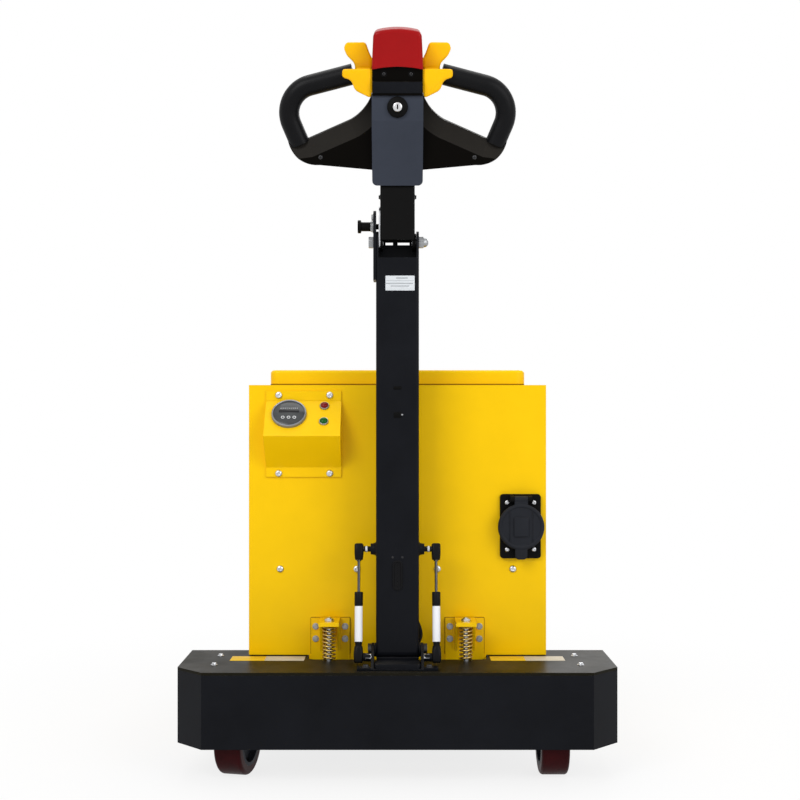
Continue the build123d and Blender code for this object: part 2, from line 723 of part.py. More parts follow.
def cabinet_top():
    z = (CABINET_TOP - PANEL, CABINET_TOP)
    panel = slab((-INNER_X, INNER_X), (CABINET_FRONT + PANEL, CABINET_REAR - PANEL), z)
    half = LID_WIDTH / 2 - LID_OVERLAP
    front = FRONT + LID_FRONT_DEPTH + LID_OVERLAP
    rear = FRONT + LID_FRONT_DEPTH + LID_LENGTH - LID_OVERLAP
    return panel - slab((-half, half), (front, rear), z)


def lid_hinge_axis():
    y = FRONT + LID_FRONT_DEPTH + LID_LENGTH + LID_HINGE_OFFSET
    return y, CABINET_TOP + LID_BARREL_RADIUS + LID_BARREL_RISE


def battery_lid():
    y = FRONT + LID_FRONT_DEPTH
    z = CABINET_TOP + SEAT_GAP
    outline = Pos(0, y + LID_LENGTH / 2, z) * RectangleRounded(LID_WIDTH, LID_LENGTH, LID_CORNER)
    lid = extrude(outline, LID_HEIGHT - SEAT_GAP)
    lid = fillet(lid.edges().group_by(Axis.Z)[-1], LID_EDGE)
    inner = Pos(0, y + LID_LENGTH / 2, z) * RectangleRounded(
        LID_WIDTH - 2 * LID_SHEET, LID_LENGTH - 2 * LID_SHEET, LID_CORNER - LID_SHEET)
    lid -= extrude(inner, LID_HEIGHT - SEAT_GAP - LID_SHEET)
    axis_y, axis_z = lid_hinge_axis()
    half = LID_BARREL_LENGTH / 2
    span = (LID_BARREL_X - half, LID_BARREL_X + half)
    knuckle = rod("x", LID_BARREL_RADIUS, span, axis_y, axis_z)
    knuckle += slab(span, (axis_y - LID_HINGE_OFFSET, axis_y), (axis_z - LID_LEAF / 2, axis_z + LID_LEAF / 2))
    knuckle -= rod("x", LID_PIN_RADIUS + RUNNING_FIT, span, axis_y, axis_z)
    for shape in both_sides(knuckle):
        lid += shape
    return lid


def lid_hinges():
    axis_y, axis_z = lid_hinge_axis()
    half = LID_BARREL_LENGTH / 2 + SEAT_GAP
    pin = rod("x", LID_PIN_RADIUS, (LID_BARREL_X - half, LID_BARREL_X + half), axis_y, axis_z)
    for low in (LID_BARREL_X - half - LID_HINGE_BLOCK, LID_BARREL_X + half):
        x = (low, low + LID_HINGE_BLOCK)
        pin += rod("x", LID_BARREL_RADIUS, x, axis_y, axis_z)
        pin += slab(x, (axis_y - LID_BARREL_RADIUS, axis_y + LID_BARREL_RADIUS), (CABINET_TOP, axis_z))
    return gather(both_sides(pin))


def gauge_outline(inset):
    """Wedge from the panel out to the ridge, as (depth, height), with its slopes moved inwards by a wall."""
    top = GAUGE_BOX_TOP - GAUGE_FLANGE
    bottom = GAUGE_BOX_BOTTOM + GAUGE_FLANGE
    top_shift = inset * hypot(GAUGE_RIDGE_REACH, top - GAUGE_RIDGE_Z) / GAUGE_RIDGE_REACH
    bottom_shift = inset * hypot(GAUGE_RIDGE_REACH, GAUGE_RIDGE_Z - bottom) / GAUGE_RIDGE_REACH
    reach = GAUGE_RIDGE_REACH * (1 - (top_shift + bottom_shift) / (top - bottom))
    ridge = top - top_shift - reach * (top - GAUGE_RIDGE_Z) / GAUGE_RIDGE_REACH
    return [
        (CABINET_FRONT, top - top_shift),
        (CABINET_FRONT - reach, ridge),
        (CABINET_FRONT, bottom + bottom_shift),
    ]


def gauge_housing():
    half = GAUGE_BOX_WIDTH / 2
    span = (GAUGE_BOX_X - half, GAUGE_BOX_X + half)
    box = side_profile(polygon(gauge_outline(0)), span)
    box -= side_profile(polygon(gauge_outline(GAUGE_SHEET)), (span[0] + GAUGE_SHEET, span[1] - GAUGE_SHEET))
    y = (CABINET_FRONT - GAUGE_SHEET, CABINET_FRONT)
    box += slab(span, y, (GAUGE_BOX_TOP - GAUGE_FLANGE - GAUGE_SHEET, GAUGE_BOX_TOP))
    box += slab(span, y, (GAUGE_BOX_BOTTOM, GAUGE_BOX_BOTTOM + GAUGE_FLANGE + GAUGE_SHEET))
    return box


def gauge_slope(x, z):
    """Plane on the upper sloping face of the housing at a given x and height."""
    drop = GAUGE_BOX_TOP - GAUGE_FLANGE - GAUGE_RIDGE_Z
    share = (GAUGE_BOX_TOP - GAUGE_FLANGE - z) / drop
    origin = (x, CABINET_FRONT - share * GAUGE_RIDGE_REACH, z)
    return Plane(origin=origin, x_dir=(1, 0, 0), z_dir=(0, -drop, GAUGE_RIDGE_REACH))


def battery_gauge():
    plane = gauge_slope(GAUGE_BOX_X + GAUGE_OFFSET, GAUGE_Z)
    body = extrude(plane * Circle(GAUGE_RADIUS), GAUGE_PROUD)
    face = plane.offset(GAUGE_PROUD - GAUGE_RECESS)
    return body - extrude(face * Circle(GAUGE_RADIUS - GAUGE_BEZEL), GAUGE_RECESS)


def lamp(name):
    plane = gauge_slope(GAUGE_BOX_X + LAMP_OFFSET, LAMP_HEIGHTS[name])
    bezel = extrude(plane * Circle(LAMP_RADIUS), LAMP_PROUD)
    return bezel + plane.offset(LAMP_PROUD) * Sphere(LAMP_RADIUS - LAMP_BEZEL, arc_size1=0)


def flap_axis():
    y = CABINET_FRONT - SOCKET_PLATE[1] - SOCKET_RING_REACH - SEAT_GAP - FLAP_HINGE_LEAD
    return y, SOCKET_Z + FLAP_HINGE_RISE


def charge_socket():
    width, thickness, height = SOCKET_PLATE
    plate_front = CABINET_FRONT - thickness
    ring_front = plate_front - SOCKET_RING_REACH
    outline = RectangleRounded(width, height, SOCKET_CORNER)
    plane = Plane(origin=(SOCKET_X, CABINET_FRONT, SOCKET_Z), x_dir=(1, 0, 0), z_dir=(0, -1, 0))
    socket = extrude(plane * outline, thickness)
    recess_floor = ring_front + SOCKET_RECESS_DEPTH
    socket += rod("y", SOCKET_RING_RADIUS, (ring_front, plate_front), SOCKET_X, SOCKET_Z)
    socket += rod("y", SOCKET_BARREL_RADIUS, (CABINET_FRONT, recess_floor + SOCKET_FLOOR), SOCKET_X, SOCKET_Z)
    socket -= rod("y", SOCKET_RECESS_RADIUS, (ring_front, recess_floor), SOCKET_X, SOCKET_Z)
    for index in range(SOCKET_PINS):
        angle = 2 * pi * index / SOCKET_PINS + pi / 2
        socket += rod("y", SOCKET_PIN_RADIUS, (recess_floor - SOCKET_PIN_LENGTH, recess_floor),
                      SOCKET_X + SOCKET_PIN_CIRCLE * cos(angle), SOCKET_Z + SOCKET_PIN_CIRCLE * sin(angle))
    axis_y, axis_z = flap_axis()
    inner = FLAP_KNUCKLE_WIDTH / 2 + SEAT_GAP
    for low in (SOCKET_X - inner - FLAP_EAR, SOCKET_X + inner):
        x = (low, low + FLAP_EAR)
        socket += rod("x", FLAP_KNUCKLE_RADIUS, x, axis_y, axis_z)
        socket += slab(x, (axis_y, plate_front), (axis_z - FLAP_KNUCKLE_RADIUS, axis_z + FLAP_KNUCKLE_RADIUS))
    socket += rod("x", FLAP_PIN_RADIUS, (SOCKET_X - inner, SOCKET_X + inner), axis_y, axis_z)
    return socket


def socket_flap():
    rear = CABINET_FRONT - SOCKET_PLATE[1] - SOCKET_RING_REACH - SEAT_GAP
    front = rear - FLAP_THICKNESS
    flap = rod("y", FLAP_RADIUS, (front, rear), SOCKET_X, SOCKET_Z)
    flap = chamfer(flap.edges().group_by(Axis.Y)[0], FLAP_CHAMFER)
    pad_width, pad_thickness, pad_height = FLAP_PAD
    flap += slab((SOCKET_X - pad_width / 2, SOCKET_X + pad_width / 2), (front - pad_thickness, front),
                 (SOCKET_Z - pad_height / 2, SOCKET_Z + pad_height / 2))
    tab_width, tab_thickness, tab_height = FLAP_TAB
    low = SOCKET_Z - FLAP_RADIUS + FLAP_TAB_LAP
    leaf_front = front + FLAP_LEAF_STEP
    flap += slab((SOCKET_X - tab_width / 2, SOCKET_X + tab_width / 2),
                 (leaf_front, leaf_front + tab_thickness), (low - tab_height, low))
    axis_y, axis_z = flap_axis()
    half = FLAP_KNUCKLE_WIDTH / 2
    span = (SOCKET_X - half, SOCKET_X + half)
    flap += slab(span, (leaf_front, rear), (SOCKET_Z + FLAP_RADIUS - FLAP_LEAF_LAP, axis_z))
    flap += rod("x", FLAP_KNUCKLE_RADIUS, span, axis_y, axis_z)
    return flap - rod("x", FLAP_PIN_RADIUS + RUNNING_FIT, span, axis_y, axis_z)


def spring_brackets():
    half = BRACKET_WIDTH / 2
    y = (CABINET_FRONT - BRACKET_SHEET, CABINET_FRONT)
    bracket = slab((SPRING_X - half, SPRING_X + half), y, (BRACKET_BOTTOM, BRACKET_TOP))
    x = (SPRING_X - SHELF_WIDTH / 2, SPRING_X + SHELF_WIDTH / 2)
    spring_y = FRONT + SPRING_DEPTH
    shelf_span = (SHELF_Z, SHELF_Z + SHELF_THICKNESS)
    shelf = slab(x, (spring_y - SHELF_LIP, y[0]), shelf_span)
    shelf -= rod("z", SPRING_BOLT_RADIUS + RUNNING_FIT, shelf_span, SPRING_X, spring_y)
    gusset = polygon([
        (y[0], SHELF_Z),
        (spring_y + SHELF_LIP, SHELF_Z),
        (y[0], BRACKET_BOTTOM + SHELF_GUSSET_RISE),
    ])
    bracket += shelf
    for low in (x[0], x[1] - BRACKET_SHEET):
        bracket += side_profile(gusset, (low, low + BRACKET_SHEET))
    return gather(both_sides(bracket))


def suspension_springs():
    """Open coil between the base top and the bracket shelf, with its wire clear of both seats."""
    height = SHELF_Z - BASE_TOP - 2 * SPRING_WIRE
    coil = Helix(height / SPRING_TURNS, height, SPRING_RADIUS)
    section = Plane(origin=coil @ 0, z_dir=coil % 0) * Circle(SPRING_WIRE)
    spring = sweep(section, path=coil, is_frenet=True)
    spring = Pos(SPRING_X, FRONT + SPRING_DEPTH, BASE_TOP + SPRING_WIRE) * spring
    return gather(both_sides(spring))


def spring_bolts():
    y = FRONT + SPRING_DEPTH
    top = SHELF_Z + SHELF_THICKNESS
    bolt = rod("z", SPRING_BOLT_RADIUS, (BASE_TOP - SPRING_BOLT_BELOW, top), SPRING_X, y)
    bolt += rod("z", DOME_NUT_RADIUS, (top, top + DOME_NUT_HEIGHT), SPRING_X, y)
    bolt += Pos(SPRING_X, y, top + DOME_NUT_HEIGHT) * Sphere(DOME_RADIUS, arc_size1=0)
    return gather(both_sides(bolt))


def tiller_bracket():
    """Two ears joined by a thin web and outward feet, with the lower studs of the gas springs."""
    front = FRONT + FOOT_FRONT_DEPTH
    stud_y = FRONT + GAS_FOOT_DEPTH
    ear_sketch = polygon([
        (front, BASE_TOP),
        (PIVOT_Y + EAR_RADIUS, BASE_TOP),
        (PIVOT_Y + EAR_RADIUS, PIVOT_Z),
        (PIVOT_Y, PIVOT_Z + EAR_RADIUS),
        (stud_y, GAS_FOOT_Z + GAS_BOSS_RADIUS),
        (front, BASE_TOP + EAR_WEB),
    ]) + disc_sketch(EAR_RADIUS, PIVOT_Y, PIVOT_Z)
    ear = side_profile(ear_sketch, (EAR_INNER, EAR_OUTER))
    ear -= rod("x", PIVOT_RADIUS + RUNNING_FIT, (EAR_INNER, EAR_OUTER), PIVOT_Y, PIVOT_Z)
    socket_inner = GAS_X - GAS_EYE_WIDTH / 2
    ear += rod("x", GAS_STUD_RADIUS, (EAR_OUTER, GAS_X + GAS_EYE_WIDTH / 2), stud_y, GAS_FOOT_Z)
    ear += rod("x", GAS_STUD_COLLAR, (EAR_OUTER, socket_inner - SEAT_GAP), stud_y, GAS_FOOT_Z)
    ear += slab((EAR_OUTER, EAR_OUTER + FOOT_WIDTH), (front, front + FOOT_LENGTH),
                (BASE_TOP, BASE_TOP + EAR_SHEET))
    bracket = slab((-EAR_INNER, EAR_INNER), (front, stud_y), (BASE_TOP, BASE_TOP + EAR_WEB))
    for shape in both_sides(ear):
        bracket += shape
    return bracket


def tiller_pivot_pin():
    end = EAR_OUTER + SEAT_GAP
    pin = rod("x", PIVOT_RADIUS, (-end, end), PIVOT_Y, PIVOT_Z)
    for low in (-end - PIVOT_HEAD, end):
        pin += rod("x", PIVOT_HEAD_RADIUS, (low, low + PIVOT_HEAD), PIVOT_Y, PIVOT_Z)
    return pin


def tiller_tube():
    """Rectangular tube with its toe rounded at the foot and its front opened round the fold hinge."""
    middle = (TUBE_FRONT + TUBE_BACK) / 2
    top = HINGE_Z + CHEEK_RISE
    inner_half = TUBE_HALF - TUBE_WALL
    section = RectangleRounded(TUBE_WIDTH, TUBE_DEPTH, TUBE_CORNER)
    section -= RectangleRounded(2 * inner_half, TUBE_DEPTH - 2 * TUBE_WALL, TUBE_INNER_CORNER)
    tube = Pos(0, middle, TUBE_BOTTOM) * extrude(section, top - TUBE_BOTTOM)
    toe = slab((-TUBE_HALF, TUBE_HALF), (TUBE_FRONT, TUBE_FRONT + TUBE_TOE_ROUND),
               (TUBE_BOTTOM, TUBE_BOTTOM + TUBE_TOE_ROUND))
    toe -= rod("x", TUBE_TOE_ROUND, (-TUBE_HALF, TUBE_HALF),
               TUBE_FRONT + TUBE_TOE_ROUND, TUBE_BOTTOM + TUBE_TOE_ROUND)
    tube -= toe
    tube -= slab((-inner_half, inner_half), (TUBE_FRONT, HINGE_Y), (HINGE_Z - NOTCH_DROP, top))
    tube -= slab((-inner_half, inner_half), (HINGE_Y, TUBE_BACK), (HINGE_Z - BACK_DROP, top))
    cheek_room = slab((-TUBE_HALF, TUBE_HALF), (TUBE_FRONT, TUBE_BACK), (HINGE_Z, top))
    cheek_room -= rod("x", CHEEK_RISE, (-TUBE_HALF, TUBE_HALF), HINGE_Y, HINGE_Z)
    tube -= cheek_room
    tube -= rod("x", HINGE_RADIUS + RUNNING_FIT, (-TUBE_HALF, TUBE_HALF), HINGE_Y, HINGE_Z)
    head_y = FRONT + GAS_HEAD_DEPTH
    stud_end = GAS_X - GAS_EYE_WIDTH / 2 - SEAT_GAP
    fittings = rod("x", EAR_RADIUS, (TUBE_HALF, TUBE_HALF + BUSH_WIDTH), PIVOT_Y, PIVOT_Z)
    boss_end = TUBE_HALF + GAS_BOSS_LENGTH
    fittings += rod("x", GAS_BOSS_RADIUS, (TUBE_HALF, boss_end), head_y, GAS_HEAD_Z)
    fittings += rod("x", GAS_STUD_RADIUS, (boss_end, stud_end), head_y, GAS_HEAD_Z)
    for shape in both_sides(fittings):
        tube += shape
    return tube - rod("x", PIVOT_RADIUS + RUNNING_FIT, (-EAR_OUTER, EAR_OUTER), PIVOT_Y, PIVOT_Z)


def gas_line():
    """Length and backward lean, in degrees, of a gas spring at rest."""
    run = GAS_HEAD_DEPTH - GAS_FOOT_DEPTH
    rise = GAS_HEAD_Z - GAS_FOOT_Z
    return hypot(run, rise), degrees(atan2(run, rise))


def place_gas(shape, side):
    """Puts a gas spring drawn upright above its lower eye at its place."""
    lean = gas_line()[1]
    return Pos(SIDES[side] * GAS_X, FRONT + GAS_FOOT_DEPTH, GAS_FOOT_Z) * Rot(-lean, 0, 0) * shape


def gas_eye(z, direction):
    """End fitting about an eye at a height, tapering along the spring in a direction of 1 or -1."""
    half = GAS_EYE_WIDTH / 2
    eye = rod("x", GAS_EYE_RADIUS, (-half, half), 0, z)
    far = z + direction * GAS_EYE_LENGTH
    return eye + rod("z", GAS_EYE_NECK, (min(z, far), max(z, far)), 0, 0)


def gas_cylinder(side):
    start = GAS_EYE_LENGTH
    end = start + GAS_CYLINDER_LENGTH
    body = gas_eye(0, 1) + rod("z", GAS_CYLINDER_RADIUS, (start, end), 0, 0)
    body -= rod("z", GAS_ROD_RADIUS + RUNNING_FIT, (end - GAS_ROD_INSERT - GAS_STROKE, end), 0, 0)
    half = GAS_EYE_WIDTH / 2
    body -= rod("x", GAS_STUD_RADIUS + RUNNING_FIT, (-half, half), 0, 0)
    return place_gas(body, side)


def gas_rod(side):
    length = gas_line()[0]
    end = GAS_EYE_LENGTH + GAS_CYLINDER_LENGTH
    piece = gas_eye(length, -1) + rod("z", GAS_ROD_RADIUS, (end - GAS_ROD_INSERT, length), 0, 0)
    return place_gas(piece, side)


def tiller_cable():
    """Loop of cable behind the foot of the tube, each corner rounded as far as its shorter run allows."""
    points = [Vector(x, TUBE_BACK + behind, z) for x, behind, z in CABLE_POINTS]
    radii = []
    for before, here, after in zip(points, points[1:], points[2:]):
        turn = radians((here - before).get_angle(after - here))
        shorter = min((here - before).length, (after - here).length)
        radii.append(CABLE_BEND_SHARE * shorter / tan(turn / 2))
    path = FilletPolyline(*points, radius=radii)
    section = Plane(origin=path @ 0, z_dir=path % 0) * Circle(CABLE_RADIUS)
    return sweep(section, path=path)


def hinge_bolt():
    left = -TUBE_HALF - INDEX_SHEET
    bolt = rod("x", HINGE_RADIUS, (left, TUBE_HALF), HINGE_Y, HINGE_Z)
    head = Plane(origin=(left, HINGE_Y, HINGE_Z), x_dir=(0, 1, 0), z_dir=(-1, 0, 0))
    bolt += extrude(head * RegularPolygon(HINGE_HEX_RADIUS, 6), HINGE_HEAD)
    nut = Plane(origin=(TUBE_HALF, HINGE_Y, HINGE_Z), x_dir=(0, 1, 0), z_dir=(1, 0, 0))
    bolt += extrude(nut * RegularPolygon(HINGE_HEX_RADIUS, 6), HINGE_HEAD)
    return bolt + nut.offset(HINGE_HEAD) * Sphere(HINGE_DOME_RADIUS, arc_size1=0)


def index_plate():
    half = INDEX_WIDTH / 2
    top_centre = HINGE_Z + INDEX_RISE - half
    sketch = polygon([
        (HINGE_Y - half, HINGE_Z - INDEX_DROP),
        (HINGE_Y + half, HINGE_Z - INDEX_DROP),
        (HINGE_Y + half, top_centre),
        (HINGE_Y - half, top_centre),
    ]) + disc_sketch(half, HINGE_Y, top_centre)
    sketch -= disc_sketch(HINGE_RADIUS + RUNNING_FIT, HINGE_Y, HINGE_Z)
    sketch -= disc_sketch(PLUNGER_PIN_RADIUS + RUNNING_FIT, HINGE_Y, PLUNGER_Z)
    return side_profile(sketch, (-TUBE_HALF - INDEX_SHEET, -TUBE_HALF))


def index_plunger():
    start = -TUBE_HALF - INDEX_SHEET
    tip = -SHAFT_WIDTH / 2 - SECTOR_SHEET - SEAT_GAP
    body = rod("x", PLUNGER_PIN_RADIUS, (start, tip), HINGE_Y, PLUNGER_Z)
    for radius, length in (
        (PLUNGER_NUT_RADIUS, PLUNGER_NUT),
        (PLUNGER_BODY_RADIUS, PLUNGER_BODY),
        (PLUNGER_KNOB_RADIUS, PLUNGER_KNOB),
    ):
        body += rod("x", radius, (start - length, start), HINGE_Y, PLUNGER_Z)
        start -= length
    return body


def handle_shaft():
    """Upper tube with two lugs about the fold hinge, reaching up into the head."""
    bottom = HINGE_Z + SHAFT_RISE
    top = HEAD_Z + SHAFT_INTO_HEAD
    half = SHAFT_WIDTH / 2
    inner = half - SHAFT_WALL
    section = RectangleRounded(SHAFT_WIDTH, SHAFT_DEPTH, SHAFT_CORNER)
    shaft = Pos(0, HINGE_Y, bottom) * extrude(section, top - bottom)
    lug = rod("x", LUG_RADIUS, (-half, half), HINGE_Y, HINGE_Z)
    lug += slab((-half, half), (HINGE_Y - LUG_RADIUS, HINGE_Y + LUG_RADIUS), (HINGE_Z, bottom))
    shaft += lug
    inner_depth = SHAFT_DEPTH / 2 - SHAFT_WALL
    shaft -= slab((-inner, inner), (HINGE_Y - inner_depth, HINGE_Y + inner_depth),
                  (HINGE_Z - LUG_RADIUS, top))
    return shaft - rod("x", HINGE_RADIUS + RUNNING_FIT, (-half, half), HINGE_Y, HINGE_Z)


def sector_plate():
    top = HINGE_Z + SECTOR_REACH
    sketch = polygon([
        (HINGE_Y - LUG_RADIUS, HINGE_Z),
        (HINGE_Y + LUG_RADIUS, HINGE_Z),
        (HINGE_Y + SECTOR_RADIUS, top),
        (HINGE_Y - SECTOR_RADIUS, top),
    ]) + disc_sketch(SECTOR_RADIUS, HINGE_Y, top) + disc_sketch(LUG_RADIUS, HINGE_Y, HINGE_Z)
    sketch -= disc_sketch(HINGE_RADIUS + RUNNING_FIT, HINGE_Y, HINGE_Z)
    return side_profile(sketch, (-SHAFT_WIDTH / 2 - SECTOR_SHEET, -SHAFT_WIDTH / 2))


def head_block(x, rise, reach):
    """Rectangular solid in the head's own directions."""
    middle_rise = (rise[0] + rise[1]) / 2
    sketch = Pos((x[0] + x[1]) / 2, middle_rise) * Rectangle(x[1] - x[0], rise[1] - rise[0])
    return extrude(HEAD.offset(reach[0]) * sketch, reach[1] - reach[0])


def grip_path():
    points = [HEAD.from_local_coords((x, rise, 0)) for x, rise in (GRIP_START, GRIP_CORNER, GRIP_END)]
    return FilletPolyline(*points, radius=GRIP_BEND)


def hand_grip():
    path = grip_path()
    section = Plane(origin=path @ 0, z_dir=path % 0) * Circle(GRIP_RADIUS)
    return sweep(section, path=path)


def hand_grips():
    return gather(both_sides(hand_grip()))


def head_wing():
    """Wing from the middle of the head to the lower end of a grip, bevelled along its upper front edge."""
    low = (CORE_HALF_WIDTH, WING_LOW_INNER)
    top = (CORE_HALF_WIDTH, WING_NECK_TOP)
    upper = [
        Line(WING_TIP, WING_SHOULDER),
        Line(WING_SHOULDER, WING_NECK),
        ThreePointArc(WING_NECK, WING_NECK_MIDDLE, top),
    ]
    lower = [
        Line(top, low),
        Line(low, WING_LOW_BEND),
        ThreePointArc(WING_LOW_BEND, WING_LOW_MIDDLE, WING_TIP),
    ]
    wing = extrude(HEAD.offset(WING_BACK) * make_face(upper + lower), WING_FRONT - WING_BACK)
    front = wing.faces().sort_by(Axis((0, 0, 0), HEAD_OUT))[-1]
    middles = [HEAD.offset(WING_FRONT).from_local_coords(edge @ 0.5) for edge in upper]
    bevelled = [min(front.edges(), key=lambda edge: (edge @ 0.5 - middle).length) for middle in middles]
    return chamfer(bevelled, WING_BEVEL_RUN, WING_BEVEL_DROP, reference=front)


def arched_block(half, bottom, reach):
    """Solid of the head whose top is arched, as the belly button's lower edge is."""
    left, right = (-half, CORE_TOP), (half, CORE_TOP)
    edge = [
        Line((-half, bottom), (half, bottom)),
        Line((half, bottom), right),
        ThreePointArc(right, (0, CORE_TOP + CORE_ARCH), left),
        Line(left, (-half, bottom)),
    ]
    return extrude(HEAD.offset(reach[0]) * make_face(edge), reach[1] - reach[0])


def head_housing():
    """Middle of the head with its stepped band, the wings and the shaft of the throttle paddles."""
    housing = arched_block(CORE_HALF_WIDTH, CORE_BOTTOM, (CORE_BACK, CORE_FRONT))
    housing += arched_block(BAND_HALF_WIDTH, BAND_STEP, (CORE_BACK, BAND_UPPER_FRONT))
    housing += head_block((-BAND_HALF_WIDTH, BAND_HALF_WIDTH), (BAND_BOTTOM, BAND_STEP),
                          (CORE_BACK, BAND_FRONT))
    for shape in both_sides(head_wing()):
        housing += shape
    hub = HEAD.from_local_coords((0, PADDLE_RISE, 0))
    housing += rod("x", PADDLE_SHAFT_RADIUS, (-GRIP_START[0], GRIP_START[0]), hub.Y, hub.Z)
    half_depth = SHAFT_DEPTH / 2
    housing -= slab((-SHAFT_WIDTH / 2, SHAFT_WIDTH / 2), (HINGE_Y - half_depth, HINGE_Y + half_depth),
                    (HINGE_Z, HEAD_Z + SHAFT_INTO_HEAD))
    for shape in both_sides(hand_grip()):
        housing -= shape
    return housing - head_block((-COVER_HALF_WIDTH, COVER_HALF_WIDTH), (COVER_BOTTOM, BAND_BOTTOM),
                                (CORE_FRONT, COVER_FOLD_FRONT))


def head_cover():
    """Folded cover on the operator's side of the head, rounded at its lower corners."""
    plane = Plane(origin=HEAD.from_local_coords((-COVER_HALF_WIDTH, 0, 0)), x_dir=HEAD_UP, z_dir=(1, 0, 0))
    sketch = polygon([
        (COVER_BOTTOM, CORE_FRONT),
        (COVER_BOTTOM, COVER_BOTTOM_FRONT),
        (COVER_FOLD, COVER_FOLD_FRONT),
        (BAND_BOTTOM, COVER_TOP_FRONT),
        (BAND_BOTTOM, CORE_FRONT),
    ])
    cover = extrude(plane * sketch, 2 * COVER_HALF_WIDTH)
    plate = Rectangle(2 * COVER_HALF_WIDTH, BAND_BOTTOM - COVER_BOTTOM)
    outline = Pos(0, (COVER_BOTTOM + BAND_BOTTOM) / 2) * plate
    outline = fillet(outline.vertices().group_by(Axis.Y)[0], COVER_CORNER)
    cover &= extrude(HEAD.offset(CORE_FRONT) * outline, COVER_FOLD_FRONT - CORE_FRONT)
    half = SHAFT_WIDTH / 2 + COVER_SHAFT_GAP
    half_depth = SHAFT_DEPTH / 2 + COVER_SHAFT_GAP
    return cover - slab((-half, half), (HINGE_Y - half_depth, HINGE_Y + half_depth),
                        (HINGE_Z, HEAD_Z + COVER_SHAFT_RISE))


def belly_button():
    """Crowned button that narrows upwards and sits on the arched top of the head."""
    low_left, low_right = (-BUTTON_BOTTOM_HALF, CORE_TOP), (BUTTON_BOTTOM_HALF, CORE_TOP)
    top_left, top_right = (-BUTTON_TOP_HALF, BUTTON_TOP), (BUTTON_TOP_HALF, BUTTON_TOP)
    outline = make_face([
        ThreePointArc(low_left, (0, CORE_TOP + CORE_ARCH), low_right),
        Line(low_right, top_right),
        ThreePointArc(top_right, (0, BUTTON_TOP + BUTTON_CROWN), top_left),
        Line(top_left, low_left),
    ])
    outline = fillet(outline.vertices().group_by(Axis.Y)[-1], BUTTON_CORNER)
    button = extrude(HEAD.offset(BUTTON_BACK) * outline, BUTTON_FRONT - BUTTON_BACK)
    ends = button.faces().sort_by(Axis((0, 0, 0), HEAD_OUT))
    rims = [edge for face in (ends[0], ends[-1]) for edge in face.edges()]
    lowest = CORE_TOP + CORE_ARCH
    upper = [edge for edge in rims if HEAD.to_local_coords(edge @ 0.5).Y > lowest]
    return fillet(upper, BUTTON_EDGE)


def paddle_blade(points, reach):
    """Flat blade of a throttle paddle with rounded corners, from a reach outwards."""
    blade = fillet(polygon(points).vertices(), PADDLE_ROUND)
    return extrude(HEAD.offset(reach) * blade, PADDLE_THICKNESS)


def throttle_paddle():
    """Butterfly with a blade up behind the hub and a blade out in front of the grip's end."""
    hub = HEAD.from_local_coords((0, PADDLE_RISE, 0))
    span = (PADDLE_INNER, PADDLE_HUB_OUTER)
    front = GRIP_RADIUS + PADDLE_GRIP_GAP
    neck_width, neck_half = PADDLE_NECK
    paddle = rod("x", PADDLE_HUB_RADIUS, span, hub.Y, hub.Z)
    paddle += paddle_blade(PADDLE_UPPER, -PADDLE_THICKNESS / 2)
    paddle += paddle_blade(PADDLE_LOWER, front)
    paddle += head_block((PADDLE_INNER, PADDLE_INNER + neck_width),
                         (PADDLE_RISE - neck_half, PADDLE_RISE + neck_half), (0, front))
    paddle -= hand_grip()
    return paddle - rod("x", PADDLE_SHAFT_RADIUS + RUNNING_FIT, (PADDLE_INNER, GRIP_START[0]), hub.Y, hub.Z)


def throttle_paddles():
    return gather(both_sides(throttle_paddle()))


def key_plane():
    """Plane on the cover's upper face, which falls back from the fold."""
    share = (KEY_RISE - COVER_FOLD) / (BAND_BOTTOM - COVER_FOLD)
    reach = COVER_FOLD_FRONT + share * (COVER_TOP_FRONT - COVER_FOLD_FRONT)
    fall = atan2(COVER_FOLD_FRONT - COVER_TOP_FRONT, BAND_BOTTOM - COVER_FOLD)
    outward = HEAD_OUT * cos(fall) + HEAD_UP * sin(fall)
    return Plane(origin=HEAD.from_local_coords((0, KEY_RISE, reach)), x_dir=(1, 0, 0), z_dir=outward)


def key_switch():
    plane = key_plane()
    ring = extrude(plane * Circle(KEY_RING_RADIUS), KEY_RING_PROUD)
    ring += extrude(plane * Circle(KEY_CORE_RADIUS), KEY_CORE_PROUD)
    return ring


def tow_hitch():
    """Flange on the crossmember with a rounded tongue and a gusset under it."""
    width, thickness, height = HITCH_FLANGE
    start = CABINET_REAR - PANEL
    low = TONGUE_Z - (height - TONGUE_PLATE)
    flange = slab((-width / 2, width / 2), (start, start + thickness), (low, TONGUE_Z + TONGUE_PLATE))
    root = start + thickness
    pin_y = root + TOW_PIN_OFFSET
    tongue = Pos(0, (root + pin_y) / 2) * Rectangle(2 * TONGUE_HALF_WIDTH, pin_y - root)
    tongue += Pos(0, pin_y) * Circle(TONGUE_HALF_WIDTH)
    hitch = flange + extrude(Pos(0, 0, TONGUE_Z) * tongue, TONGUE_PLATE)
    gusset = polygon([(root, TONGUE_Z), (root, low), (pin_y, TONGUE_Z)])
    hitch += side_profile(gusset, (-GUSSET / 2, GUSSET / 2))
    return hitch - rod("z", TOW_PIN_SHANK + RUNNING_FIT, (low, TONGUE_Z + TONGUE_PLATE), 0, pin_y)


